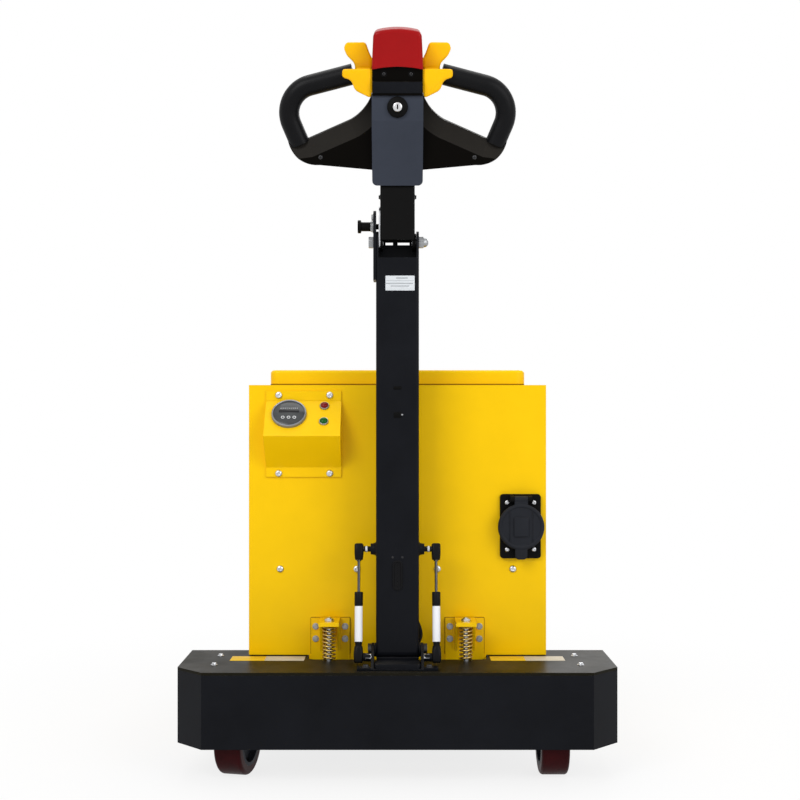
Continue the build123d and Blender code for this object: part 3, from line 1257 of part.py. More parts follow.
def tow_pin():
    """Upright pin with a thinner shank through the tongue and an undercut where it meets the tongue."""
    pin_y = CABINET_REAR - PANEL + HITCH_FLANGE[1] + TOW_PIN_OFFSET
    seat = TONGUE_Z + TONGUE_PLATE
    pin = rod("z", TOW_PIN_RADIUS, (seat + TOW_PIN_UNDERCUT, seat + TOW_PIN_HEIGHT), 0, pin_y)
    pin = chamfer(pin.edges().group_by(Axis.Z)[-1], TOW_PIN_CHAMFER)
    return pin + rod("z", TOW_PIN_SHANK, (TONGUE_Z, seat + TOW_PIN_UNDERCUT), 0, pin_y)


def nodes():
    made = {
        "base_top_plate": base_top_plate(),
        "base_skirt": base_skirt(),
        "castor_beam": castor_beam(),
        "arm_pivot_bolts": arm_pivot_bolts(),
        "chassis_plates": chassis_plates(),
        "rear_crossmember": rear_crossmember(),
        "battery_tray": battery_tray(),
        "bulkhead": bulkhead(),
        "batteries": gather([battery(side) for side in SIDES]),
        "castor_plates": gather([castor_plate(side) for side in SIDES]),
        "drive_unit": drive_unit(),
        "cabinet_front": cabinet_front(),
        "cabinet_rear": cabinet_rear(),
        "cabinet_top": cabinet_top(),
        "battery_lid": battery_lid(),
        "lid_hinges": lid_hinges(),
        "gauge_housing": gauge_housing(),
        "battery_gauge": battery_gauge(),
        "charge_socket": charge_socket(),
        "socket_flap": socket_flap(),
        "spring_brackets": spring_brackets(),
        "suspension_springs": suspension_springs(),
        "spring_bolts": spring_bolts(),
        "tiller_bracket": tiller_bracket(),
        "tiller_pivot_pin": tiller_pivot_pin(),
        "tiller_tube": tiller_tube(),
        "tiller_cable": tiller_cable(),
        "hinge_bolt": hinge_bolt(),
        "index_plate": index_plate(),
        "index_plunger": index_plunger(),
        "handle_shaft": handle_shaft(),
        "sector_plate": sector_plate(),
        "head_housing": head_housing(),
        "head_cover": head_cover(),
        "hand_grips": hand_grips(),
        "belly_button": belly_button(),
        "throttle_paddles": throttle_paddles(),
        "key_switch": key_switch(),
        "tow_hitch": tow_hitch(),
        "tow_pin": tow_pin(),
    }
    for name in LAMP_HEIGHTS:
        made[name] = lamp(name)
    for side in SIDES:
        made["cabinet_" + side] = cabinet_side(side)
        made["castor_fork_" + side] = castor_fork(side)
        made["castor_hub_" + side] = castor_hub(side)
        made["castor_tyre_" + side] = castor_tyre(side)
        made["drive_rim_" + side] = drive_rim(side)
        made["drive_tyre_" + side] = drive_tyre(side)
        made["gas_cylinder_" + side] = gas_cylinder(side)
        made["gas_rod_" + side] = gas_rod(side)
    return made


os.makedirs("parts", exist_ok=True)
for node, shape in nodes().items():
    export_step(shape, "parts/" + node + ".step")
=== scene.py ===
"""Finishes, small parts and a studio for a walk-behind electric tow tug."""

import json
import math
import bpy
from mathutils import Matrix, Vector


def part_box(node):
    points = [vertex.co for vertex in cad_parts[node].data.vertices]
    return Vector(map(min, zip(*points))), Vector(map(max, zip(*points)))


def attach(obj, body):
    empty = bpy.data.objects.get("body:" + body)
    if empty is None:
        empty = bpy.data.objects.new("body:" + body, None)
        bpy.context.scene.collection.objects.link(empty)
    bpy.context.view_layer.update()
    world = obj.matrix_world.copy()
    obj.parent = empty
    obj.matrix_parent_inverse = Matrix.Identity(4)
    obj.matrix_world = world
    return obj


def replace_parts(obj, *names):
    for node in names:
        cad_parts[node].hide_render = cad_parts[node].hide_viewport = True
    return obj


bl_info = {
    "name": "Tow Tug Dressing",
    "version": (1, 0, 0),
    "blender": (4, 5, 0),
    "location": "3D View > Sidebar > Tow Tug",
    "description": "Dresses the jointed tow tug with finishes, fasteners and trim",
    "category": "Object",
}

from itertools import product

import bmesh
import bpy
import numpy as np
from bpy.props import FloatProperty, FloatVectorProperty, PointerProperty

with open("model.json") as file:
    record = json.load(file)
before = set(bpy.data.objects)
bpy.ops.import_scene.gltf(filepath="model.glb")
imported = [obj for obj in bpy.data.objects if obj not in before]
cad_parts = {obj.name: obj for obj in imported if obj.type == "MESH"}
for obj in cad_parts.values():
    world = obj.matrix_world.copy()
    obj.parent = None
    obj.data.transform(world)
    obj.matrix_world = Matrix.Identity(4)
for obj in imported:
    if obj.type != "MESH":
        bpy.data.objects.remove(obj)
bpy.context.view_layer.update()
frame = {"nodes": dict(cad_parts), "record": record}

MM = 0.001
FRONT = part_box("base_skirt")[0].y / MM
SIDES = {"left": -1, "right": 1}
X_AXIS, Y_AXIS, Z_AXIS = np.eye(3)
SMOOTH_BELOW = math.radians(38)
# Faces in millimetres: depths behind the base's front face, the cabinet's half width, and heights
CABINET_FRONT, CABINET_REAR, CABINET_SIDE, CABINET_TOP = 126, 726, 223, 566
BASE_TOP, TUBE_FRONT = 160, 50


# Places and shapes


def at(x, depth, z):
    """Point in metres from millimetres across, behind the base's front face, and above the floor."""
    return np.array([x, FRONT + depth, z]) * MM


HEAD_FOOT = at(0, 70, 854.5)
HEAD_LEAN = math.radians(20)
HEAD_UP = np.array([0, -math.sin(HEAD_LEAN), math.cos(HEAD_LEAN)])
HEAD_OUT = np.array([0, -math.cos(HEAD_LEAN), -math.sin(HEAD_LEAN)])
# Directions across, up and out of a face
FRONTAL = (X_AXIS, Z_AXIS, -Y_AXIS)
LEVEL = (X_AXIS, Y_AXIS, Z_AXIS)
ON_HEAD = (X_AXIS, HEAD_UP, HEAD_OUT)


def head(x, rise, reach):
    """Point on the tiller head from millimetres across, up along it and out towards the operator."""
    return HEAD_FOOT + (x * X_AXIS + rise * HEAD_UP + reach * HEAD_OUT) * MM


def unit(vector):
    """The vector divided by its length."""
    return np.asarray(vector, float) / np.linalg.norm(vector)


def across(axis):
    """Two unit vectors square to an axis and to each other."""
    axis = unit(axis)
    helper = X_AXIS if abs(axis[0]) < 0.9 else Z_AXIS
    first = unit(np.cross(helper, axis))
    return first, np.cross(axis, first)


def turned(rows, origin, axis, steps):
    """Surface of revolution: each row (radius, height, sides) is a ring at that height on the axis.
    With sides = 0 the ring is a circle; otherwise its radius is divided by the cosine of the angle to the
    nearest flat, times the cosine of half a side, which makes a polygon with its corners at that radius."""
    rows = np.array([row if len(row) == 3 else (*row, 0) for row in rows], float)
    angle = np.linspace(0, 2 * np.pi, steps, endpoint=False)
    sides = np.maximum(rows[:, 2:3], 3)
    half = np.pi / sides
    flat = np.cos(half) / np.cos(np.mod(angle[None, :], 2 * half) - half)
    radius = rows[:, 0:1] * MM * np.where(rows[:, 2:3] > 0, flat, 1.0)
    first, second = across(axis)
    ring = np.cos(angle)[:, None] * first + np.sin(angle)[:, None] * second
    return origin + radius[..., None] * ring[None] + (rows[:, 1] * MM)[:, None, None] * unit(axis)


def lofted(levels, origin, right, forward, up, steps):
    """Stack of superellipses: a level (height, half width, half depth, forward shift, power) is the curve
    width times cosine and depth times sine, each raised to 2 / power with its sign kept."""
    levels = np.asarray(levels, float)
    angle = np.linspace(0, 2 * np.pi, steps, endpoint=False)
    power = 2 / levels[:, 4:5]
    cosine, sine = np.cos(angle)[None], np.sin(angle)[None]
    x = levels[:, 1:2] * np.sign(cosine) * np.abs(cosine) ** power
    y = levels[:, 3:4] + levels[:, 2:3] * np.sign(sine) * np.abs(sine) ** power
    z = np.broadcast_to(levels[:, 0:1], x.shape)
    return origin + MM * (x[..., None] * right + y[..., None] * forward + z[..., None] * up)


def rounded_outline(points, corner, steps):
    """Closed polygon with each corner replaced by a quadratic curve that starts and ends a corner length
    away: (1 - t) squared times the start, 2 t (1 - t) times the corner, t squared times the end."""
    points = np.asarray(points, float)
    corner = np.broadcast_to(np.asarray(corner, float), (len(points),))[:, None]
    before = np.roll(points, 1, axis=0) - points
    after = np.roll(points, -1, axis=0) - points
    start = points + before / np.linalg.norm(before, axis=1)[:, None] * corner
    end = points + after / np.linalg.norm(after, axis=1)[:, None] * corner
    t = np.linspace(0, 1, steps)[None, :, None]
    curve = (1 - t) ** 2 * start[:, None] + 2 * t * (1 - t) * points[:, None] + t ** 2 * end[:, None]
    return curve.reshape(-1, 2)


def rimmed(outline, profile, origin, right, up, out):
    """Rings of a shaped rim: each profile row (inset, rise) is the outline moved inwards along its normals
    by the inset and lifted by the rise."""
    outline = np.asarray(outline, float)
    along = np.roll(outline, -1, axis=0) - np.roll(outline, 1, axis=0)
    inward = np.stack([-along[:, 1], along[:, 0]], 1)
    inward /= np.linalg.norm(inward, axis=1)[:, None]
    area = np.sum(outline[:, 0] * np.roll(outline[:, 1], -1) - outline[:, 1] * np.roll(outline[:, 0], -1))
    inward *= np.sign(area)
    profile = np.asarray(profile, float)
    flat = outline[None] + profile[:, 0][:, None, None] * inward[None]
    rise = profile[:, 1][:, None, None]
    return origin + MM * (flat[..., 0:1] * right + flat[..., 1:2] * up + rise * out)


def box_outline(width, height):
    """Four corners half the width and half the height from the middle, counter-clockwise."""
    x, y = width / 2, height / 2
    return [(-x, -y), (x, -y), (x, y), (-x, y)]


class Shell:
    """Gathers grids of points into one mesh."""

    def __init__(self):
        self.points = []
        self.faces = []
        self.count = 0

    def grid(self, points, wrap_rows=False, caps=False):
        """Quads between neighbouring rings of a grid, from the last ring to the first one where asked."""
        rows, ring = points.shape[:2]
        index = self.count + np.arange(rows * ring).reshape(rows, ring)
        edge = np.vstack([index, index[:1]]) if wrap_rows else index
        edge = np.hstack([edge, edge[:, :1]])
        quads = np.stack([edge[:-1, :-1], edge[:-1, 1:], edge[1:, 1:], edge[1:, :-1]], -1)
        self.faces += quads.reshape(-1, 4).tolist()
        if caps:
            self.faces += [index[0, ::-1].tolist(), index[-1].tolist()]
        self.points.append(points.reshape(-1, 3))
        self.count += rows * ring
        return self

    def lathe(self, rows, origin, axis, steps=32, closed=False):
        """Adds a surface of revolution, joined from its last ring to its first where it is closed."""
        return self.grid(turned(rows, origin, axis, steps), wrap_rows=closed)

    def plate(self, profile, place, facing, corner, size=None, outline=None, steps=6, hollow=False):
        """Adds a plate with rounded corners and flat end faces, or only its rim where it is hollow. It has an
        outline, or the width and height of a box."""
        flat = rounded_outline(outline or box_outline(*size), corner, steps)
        return self.grid(rimmed(flat, profile, place, *facing), wrap_rows=hollow, caps=not hollow)

    def piece(self, name, body, slot, look=None):
        """Makes the mesh, joins its seams and poles, points its faces outwards and hangs it on a body."""
        mesh = bpy.data.meshes.new(name)
        mesh.from_pydata(np.vstack(self.points), [], self.faces)
        work = bmesh.new()
        work.from_mesh(mesh)
        bmesh.ops.remove_doubles(work, verts=work.verts, dist=2e-6)
        bmesh.ops.dissolve_degenerate(work, edges=work.edges, dist=1e-7)
        bmesh.ops.recalc_face_normals(work, faces=work.faces)
        work.to_mesh(mesh)
        work.free()
        mesh.polygons.foreach_set("use_smooth", np.ones(len(mesh.polygons), bool))
        mesh.set_sharp_from_angle(angle=SMOOTH_BELOW)
        made = bpy.data.objects.new(name, mesh)
        bpy.context.scene.collection.objects.link(made)
        mesh.materials.append(finish(look or slot))
        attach(made, body)
        return made


# Finishes


def new_group(name, inputs, outputs):
    """Empty shader group with float inputs (name, default) and outputs (name, socket type)."""
    group = bpy.data.node_groups.new(name, "ShaderNodeTree")
    for label, value in inputs:
        group.interface.new_socket(label, in_out="INPUT", socket_type="NodeSocketFloat").default_value = value
    for label, kind in outputs:
        group.interface.new_socket(label, in_out="OUTPUT", socket_type=kind)
    return group, group.nodes.new("NodeGroupInput"), group.nodes.new("NodeGroupOutput")


def add(tree, kind, values=None, links=None, **settings):
    """Node with its settings, its sockets' values and the sockets that feed it."""
    node = tree.nodes.new(kind)
    for key, value in settings.items():
        setattr(node, key, value)
    for key, value in (values or {}).items():
        node.inputs[key].default_value = value
    for key, source in (links or {}).items():
        tree.links.new(source, node.inputs[key])
    return node


def noise(tree, values, links=None):
    """Noise on Object coordinates."""
    where = add(tree, "ShaderNodeTexCoord").outputs["Object"]
    return add(tree, "ShaderNodeTexNoise", values, {"Vector": where, **(links or {})}).outputs["Fac"]


def ranged(tree, value, values=None, links=None, **settings):
    """A value taken from one range to another and held at its ends."""
    links = {"Value": value, **(links or {})}
    return add(tree, "ShaderNodeMapRange", values, links, **settings).outputs["Result"]


def joined(tree, operation, first, second):
    """Two values joined by a maths operation."""
    return add(tree, "ShaderNodeMath", links={0: first, 1: second}, operation=operation).outputs["Value"]


def coat_grain_group():
    """Fine height and broad mottle of a coating, from two noises on Object coordinates."""
    group, given, result = new_group(
        "Coat Grain", [("Scale", 900.0), ("Mottle Scale", 14.0)],
        [("Height", "NodeSocketFloat"), ("Mottle", "NodeSocketFloat")])
    fine = noise(group, {"Detail": 2.0}, {"Scale": given.outputs["Scale"]})
    broad = noise(group, {"Detail": 6.0, "Roughness": 0.6}, {"Scale": given.outputs["Mottle Scale"]})
    group.links.new(fine, result.inputs["Height"])
    group.links.new(ranged(group, broad, {"From Min": 0.3, "From Max": 0.7}), result.inputs["Mottle"])
    return group


def eased_edge_group():
    """Rounded normal near edges, and a broken mask of where hands and knocks rub the coat away."""
    group, given, result = new_group(
        "Eased Edge", [("Width", 0.001), ("Break Up", 120.0)],
        [("Normal", "NodeSocketVector"), ("Mask", "NodeSocketFloat")])
    width = {"Radius": given.outputs["Width"]}
    eased = add(group, "ShaderNodeBevel", links=width, samples=4).outputs["Normal"]
    flat = add(group, "ShaderNodeNewGeometry").outputs["Normal"]
    agree = add(group, "ShaderNodeVectorMath", links={0: eased, 1: flat}, operation="DOT_PRODUCT")
    edge = ranged(group, agree.outputs["Value"], {"From Min": 0.97, "From Max": 0.72})
    speckle = noise(group, {"Detail": 5.0}, {"Scale": given.outputs["Break Up"]})
    patch = ranged(group, speckle, {"From Min": 0.52, "From Max": 0.66})
    group.links.new(eased, result.inputs["Normal"])
    group.links.new(joined(group, "MULTIPLY", edge, patch), result.inputs["Mask"])
    return group


def dust_and_sheen_group():
    """Mask of dust, and of a painted sheen where the limits take in every upward face and the cover holds the
    noise full: the upward share of the normal between two limits, times a soft noise and the amount.
    """
    group, given, result = new_group(
        "Settled Dust", [("Amount", 0.1), ("Lowest", 0.35), ("Highest", 1.0), ("Cover", 0.38)],
        [("Mask", "NodeSocketFloat")])
    normal = add(group, "ShaderNodeNewGeometry").outputs["Normal"]
    rise = add(group, "ShaderNodeSeparateXYZ", links={"Vector": normal}).outputs["Z"]
    limits = {"From Min": given.outputs["Lowest"], "From Max": given.outputs["Highest"]}
    upward = ranged(group, rise, links=limits)
    cloud = ranged(group, noise(group, {"Scale": 22.0, "Detail": 7.0}), {"From Max": 0.72},
                   {"From Min": given.outputs["Cover"]})
    dust_and_sheen_mask = joined(group, "MULTIPLY", upward, cloud)
    group.links.new(joined(group, "MULTIPLY", dust_and_sheen_mask, given.outputs["Amount"]), result.inputs["Mask"])
    return group


GROUPS = {}
GROUP_MAKERS = {
    "grain": coat_grain_group,
    "edge": eased_edge_group,
    "dust": dust_and_sheen_group,
}


def group_node(tree, kind, values):
    """Node of a shared effect, whose group is built at its first use."""
    if kind not in GROUPS:
        GROUPS[kind] = GROUP_MAKERS[kind]()
    return add(tree, "ShaderNodeGroup", values, node_tree=GROUPS[kind])


# What a coating has where it says nothing else. The rub is the share that is gone at edges.
PLAIN = dict(
    metal=0.0, scale=900.0, mottle_scale=14.0, rub=0.0, rub_colour=(0.3, 0.3, 0.3), rub_metal=0.0,
    dust_low=0.35, dust_high=1.0, dust_cover=0.38, coat=0.0, specular=0.06,
)


def coating(rough, depth, mottle, dust, edge, **more):
    """Values of a finish: roughness, depth of the grain in mm, mottle, dust and painted sheen, eased edge in
    mm, and what else differs from plain."""
    return {**PLAIN, "rough": rough, "depth": depth, "mottle": mottle, "dust": dust, "edge": edge, **more}


# Each finish's colour is in TugColours under the same name
FINISHES = {
    "yellow_paint": coating(0.34, 0.03, 0.025, 0.04, 1.2, scale=420.0, coat=0.02, specular=0.1, rub=0.25,
                            rub_colour=(0.62, 0.36, 0.01)),
    "black_paint": coating(0.36, 0.03, 0.18, 0.05, 1.2, scale=520.0, rub=0.35,
                           rub_colour=(0.10, 0.10, 0.105)),
    # Black paint of the base top, warmed by a painted reflection of the yellow cabinet
    "warm_paint": coating(0.36, 0.02, 0.1, 0.05, 1.2, scale=520.0, rub=0.35, rub_colour=(0.10, 0.095, 0.08),
                          specular=0.035),
    "chassis_paint": coating(0.55, 0.05, 0.08, 0.2, 0.8, rub=0.4, rub_colour=(0.12, 0.11, 0.10)),
    "zinc": coating(0.28, 0.01, 0.18, 0.02, 0.5, metal=1.0, mottle_scale=60.0),
    "yellow_zinc": coating(0.32, 0.01, 0.25, 0.02, 0.3, metal=1.0, mottle_scale=60.0),
    "cast_drive": coating(0.5, 0.12, 0.2, 0.25, 0.8, metal=0.85, scale=300.0),
    "rim_paint": coating(0.42, 0.02, 0.08, 0.15, 0.8, rub=0.4, rub_colour=(0.45, 0.45, 0.44),
                         rub_metal=1.0),
    "drive_tyre": coating(0.82, 0.12, 0.25, 0.35, 1.5, scale=380.0, mottle_scale=22.0),
    "castor_hub": coating(0.5, 0.02, 0.08, 0.12, 0.8, rub=0.3, rub_colour=(0.2, 0.2, 0.22)),
    "polyurethane": coating(0.45, 0.03, 0.25, 0.15, 1.5, mottle_scale=26.0),
    "battery_case": coating(0.55, 0.08, 0.08, 0.15, 0.8, scale=600.0),
    "gauge": coating(0.38, 0.01, 0.08, 0.02, 0.5),
    "lamp_red": coating(0.12, 0.0, 0.12, 0.0, 0.8, mottle_scale=180.0, coat=0.25),
    "lamp_green": coating(0.12, 0.0, 0.12, 0.0, 0.8, mottle_scale=180.0, coat=0.25),
    "black_plastic": coating(0.5, 0.06, 0.16, 0.04, 1.0, scale=800.0, rub=0.25,
                             rub_colour=(0.06, 0.06, 0.06)),
    # Head housing: its dust limits take in every upward face and its cover holds the noise full, which paints
    # a lighter sheen on the tops, as if lit from above
    "warm_plastic": coating(0.5, 0.06, 0.16, 0.05, 1.0, scale=800.0, rub=0.25,
                            rub_colour=(0.06, 0.055, 0.045), dust_low=-0.08, dust_high=0.2, dust_cover=-2.0,
                            specular=0.03),
    "grey_plastic": coating(0.46, 0.05, 0.08, 0.04, 1.2, scale=800.0, rub=0.2,
                            rub_colour=(0.12, 0.13, 0.16)),
    "grip_rubber": coating(0.42, 0.08, 0.15, 0.04, 0.8, scale=700.0, specular=0.1),
    "red_plastic": coating(0.4, 0.03, 0.08, 0.02, 1.5, scale=700.0, coat=0.1),
    "yellow_plastic": coating(0.36, 0.03, 0.05, 0.02, 1.5, scale=700.0, coat=0.1),
    "key_metal": coating(0.22, 0.005, 0.1, 0.0, 0.4, metal=1.0, mottle_scale=90.0),
    "gas_black": coating(0.32, 0.02, 0.1, 0.04, 0.6),
    "gas_sleeve": coating(0.35, 0.01, 0.05, 0.03, 0.3),
    "label_film": coating(0.4, 0.01, 0.04, 0.03, 0.2),
    "sticker_yellow": coating(0.4, 0.01, 0.06, 0.04, 0.2),
    "sticker_pale": coating(0.4, 0.01, 0.06, 0.04, 0.2),
    "gauge_face": coating(0.3, 0.008, 0.1, 0.0, 0.3, mottle_scale=60.0, coat=0.4),
    "gauge_marks": coating(0.4, 0.0, 0.04, 0.0, 0.1),
    "gauge_rim": coating(0.3, 0.005, 0.06, 0.0, 0.3, metal=0.6),
    "gauge_window": coating(0.16, 0.0, 0.2, 0.0, 0.2, mottle_scale=120.0, coat=0.5),
    "flap_plastic": coating(0.45, 0.05, 0.12, 0.05, 0.8, scale=800.0, rub=0.2,
                            rub_colour=(0.08, 0.08, 0.09)),
    "dull_zinc": coating(0.4, 0.01, 0.2, 0.04, 0.4, metal=1.0, mottle_scale=60.0),
    "rod_steel": coating(0.22, 0.0, 0.06, 0.0, 0.2, metal=1.0),
    # Painted shade along seams: the cabinet yellow as it looks in shadow
    "seam_shade": coating(0.6, 0.02, 0.08, 0.05, 0.2),
    "label_print": coating(0.5, 0.0, 0.1, 0.0, 0.1),
    "dark_screw": coating(0.35, 0.01, 0.12, 0.02, 0.2, metal=0.7, mottle_scale=90.0),
    "cable_sheath": coating(0.5, 0.04, 0.12, 0.05, 0.4),
}
COAT_ROUGHNESS = 0.12
# Colour of dust, and of the painted sheen on the head housing's upward faces
DUST_AND_SHEEN_COLOUR = (0.36, 0.33, 0.29, 1.0)
SPECK_SPREAD = 0.16


def shade(colour, factor):
    """The colour times a factor, at most 1 in each channel, with an alpha of 1."""
    return (*[min(1.0, channel * factor) for channel in colour], 1.0)


def layered(tree, share, under, over):
    """Colour over another, by a share. The one under it is a colour or a socket."""
    node = add(tree, "ShaderNodeMix", {"B": over}, {"Factor": share}, data_type="RGBA")
    if isinstance(under, tuple):
        node.inputs["A"].default_value = under
    else:
        tree.links.new(under, node.inputs["A"])
    return node.outputs["Result"]


def finish(slot):
    """Material of a finish: mottled colour, rubbed edges and dust over it, with grain in the normal. On the
    head housing the dust layer is a painted sheen on upward faces.
    """
    name = "finish_" + slot
    if name in bpy.data.materials:
        return bpy.data.materials[name]
    look = FINISHES[slot]
    colour = tuple(getattr(bpy.context.scene.tug_colours, slot))
    material = bpy.data.materials.new(name)
    material.use_nodes = True
    tree = material.node_tree
    shader = tree.nodes["Principled BSDF"]
    shader.inputs["Specular IOR Level"].default_value = look["specular"]
    shader.inputs["Coat Weight"].default_value = look["coat"]
    shader.inputs["Coat Roughness"].default_value = COAT_ROUGHNESS
    grain = group_node(tree, "grain", {"Scale": look["scale"], "Mottle Scale": look["mottle_scale"]})
    edge = group_node(tree, "edge", {"Width": look["edge"] * MM})
    dust = group_node(tree, "dust", {"Amount": look["dust"], "Lowest": look["dust_low"],
                                     "Highest": look["dust_high"], "Cover": look["dust_cover"]})
    mottle, dust_and_sheen_mask = grain.outputs["Mottle"], dust.outputs["Mask"]
    worn = add(tree, "ShaderNodeMath", {1: look["rub"]}, {0: edge.outputs["Mask"]},
               operation="MULTIPLY").outputs["Value"]
    tone = layered(tree, mottle, shade(colour, 1 - look["mottle"]), shade(colour, 1 + look["mottle"]))
    tone = layered(tree, worn, tone, (*look["rub_colour"], 1.0))
    # Dust over upward faces; on the head housing this layer is a painted sheen that lightens the tops
    tone = layered(tree, dust_and_sheen_mask, tone, DUST_AND_SHEEN_COLOUR)
    tree.links.new(tone, shader.inputs["Base Color"])
    rough = ranged(tree, mottle, {"To Min": look["rough"] * (1 - SPECK_SPREAD),
                                  "To Max": look["rough"] * (1 + SPECK_SPREAD)})
    tree.links.new(rough, shader.inputs["Roughness"])
    if look["metal"] and look["dust"]:
        bare = ranged(tree, dust_and_sheen_mask, {"To Min": look["metal"], "To Max": 0.0})
        tree.links.new(bare, shader.inputs["Metallic"])
    elif look["rub_metal"]:
        tree.links.new(worn, shader.inputs["Metallic"])
    else:
        shader.inputs["Metallic"].default_value = look["metal"]
    bump = add(tree, "ShaderNodeBump", {"Strength": 1.0, "Distance": look["depth"] * MM},
               {"Height": grain.outputs["Height"], "Normal": edge.outputs["Normal"]})
    tree.links.new(bump.outputs["Normal"], shader.inputs["Normal"])
    return material


def tint(label, value):
    """Colour that a user can change."""
    return FloatVectorProperty(name=label, description="Base colour of the " + label.lower(), subtype="COLOR",
                               size=3, min=0.0, max=1.0, default=value)


def length(label, what, value):
    """Length that a user can change, with its default given in millimetres."""
    return FloatProperty(name=label, description=what, default=value * MM, unit="LENGTH", subtype="DISTANCE")


class TugColours(bpy.types.PropertyGroup):
    """Colours of the finishes"""

    yellow_paint: tint("Cabinet paint", (0.89, 0.545, 0.001))
    black_paint: tint("Base and tiller paint", (0.0058, 0.0064, 0.0086))
    # Black paint warmed by a painted reflection of the yellow cabinet above the base top
    warm_paint: tint("Base top paint with painted reflection", (0.0100, 0.0088, 0.0052))
    chassis_paint: tint("Chassis paint", (0.010, 0.010, 0.011))
    zinc: tint("Zinc plating", (0.58, 0.59, 0.61))
    yellow_zinc: tint("Spring plating", (0.50, 0.36, 0.12))
    cast_drive: tint("Drive casting", (0.32, 0.33, 0.34))
    rim_paint: tint("Rim paint", (0.30, 0.31, 0.32))
    drive_tyre: tint("Drive tyre", (0.022, 0.022, 0.023))
    castor_hub: tint("Castor hub", (0.020, 0.022, 0.030))
    polyurethane: tint("Castor tread", (0.032, 0.003, 0.004))
    battery_case: tint("Battery case", (0.028, 0.030, 0.034))
    gauge: tint("Gauge bezel", (0.10, 0.105, 0.115))
    lamp_red: tint("Red lamp", (0.17, 0.0015, 0.003))
    lamp_green: tint("Green lamp", (0.0015, 0.095, 0.010))
    black_plastic: tint("Black plastic", (0.0028, 0.0027, 0.0027))
    warm_plastic: tint("Head housing", (0.0022, 0.0017, 0.0012))
    grey_plastic: tint("Head cover", (0.037, 0.043, 0.059))
    grip_rubber: tint("Grip rubber", (0.0036, 0.0037, 0.0044))
    red_plastic: tint("Belly button", (0.32, 0.004, 0.005))
    yellow_plastic: tint("Throttle paddles", (0.95, 0.50, 0.002))
    key_metal: tint("Key lock", (0.64, 0.64, 0.65))
    gas_black: tint("Gas spring", (0.0070, 0.0070, 0.0076))
    gas_sleeve: tint("Gas spring sleeve", (0.80, 0.81, 0.84))
    label_film: tint("Label film", (0.64, 0.67, 0.70))
    sticker_yellow: tint("Sticker, warm half", (0.78, 0.50, 0.02))
    sticker_pale: tint("Sticker, pale half", (0.55, 0.50, 0.40))
    gauge_face: tint("Gauge face", (0.055, 0.058, 0.060))
    gauge_marks: tint("Gauge marks", (0.70, 0.71, 0.72))
    gauge_rim: tint("Gauge rim", (0.24, 0.25, 0.27))
    gauge_window: tint("Gauge window", (0.010, 0.010, 0.011))
    flap_plastic: tint("Socket flap", (0.0165, 0.0180, 0.0225))
    dull_zinc: tint("Dull plating", (0.34, 0.35, 0.36))
    rod_steel: tint("Gas spring rod", (0.085, 0.083, 0.080))
    # Dark amber of the painted shade along the bracket and lid seams
    seam_shade: tint("Bracket seam", (0.26, 0.13, 0.002))
    label_print: tint("Label marks", (0.30, 0.32, 0.34))
    dark_screw: tint("Dark screws", (0.045, 0.045, 0.047))
    cable_sheath: tint("Cable sheath", (0.012, 0.012, 0.013))


class TugSizes(bpy.types.PropertyGroup):
    """Sizes of the small parts"""

    screw_radius: length("Screw radius", "Radius of a panel screw's head", 5.3)
    bolt_radius: length("Bolt radius", "Radius over the corners of a hexagon bolt's head", 6.4)
    label_width: length("Label width", "Width of the label on the tiller", 42.0)
    label_height: length("Label height", "Height of the label on the tiller", 21.4)
    sticker_depth: length("Sticker depth", "Front to back size of the stickers on the base", 33.0)


# Pieces


# Solids whose finish differs from the usual one of their slot
OWN_FINISH = {
    "tiller_pivot_pin": "dark_screw",
    "handle_shaft": "black_plastic",
    # The base top plate's warm tint is a painted reflection of the yellow cabinet
    "base_top_plate": "warm_paint",
    # The head housing's finish paints a lighter sheen on its upward faces
    "head_housing": "warm_plastic",
}


class TUG_OT_finish_panels(bpy.types.Operator):
    """Gives every solid of the frame the finish of its own material slot"""

    bl_idname = "tug.finish_panels"
    bl_label = "Finish Panels"

    def execute(self, context):
        for part in frame["record"]["subparts"]:
            name = part["node"]
            for slot in frame["nodes"][name].material_slots:
                slot.material = finish(OWN_FINISH.get(name, part["material_slot"]))
        return {"FINISHED"}


def dome_screw(shell, place, out, radius):
    """Domed head with a hexagon socket: rings run from the rim over the dome and down into the socket."""
    socket = 0.42 * radius
    shell.lathe([
        (radius, -0.1), (radius, 0.18 * radius), (0.94 * radius, 0.34 * radius),
        (0.78 * radius, 0.50 * radius), (0.58 * radius, 0.58 * radius), (socket * 1.12, 0.60 * radius),
        (socket, 0.55 * radius, 6), (socket, 0.15 * radius, 6), (0, 0.12 * radius),
    ], place, out, steps=24)


def hex_bolt(shell, place, out, radius):
    """Hexagon head on a washer: a circle at the chamfered top, hexagons down the flats, then the washer."""
    washer, height, sheet = 1.35 * radius, 0.62 * radius, 0.2 * radius
    shell.lathe([
        (washer, -0.1), (washer, 0.7 * sheet), (0.95 * washer, sheet), (radius, sheet, 6),
        (radius, sheet + 0.85 * height, 6), (0.84 * radius, sheet + height), (0, sheet + height),
    ], place, out, steps=24)


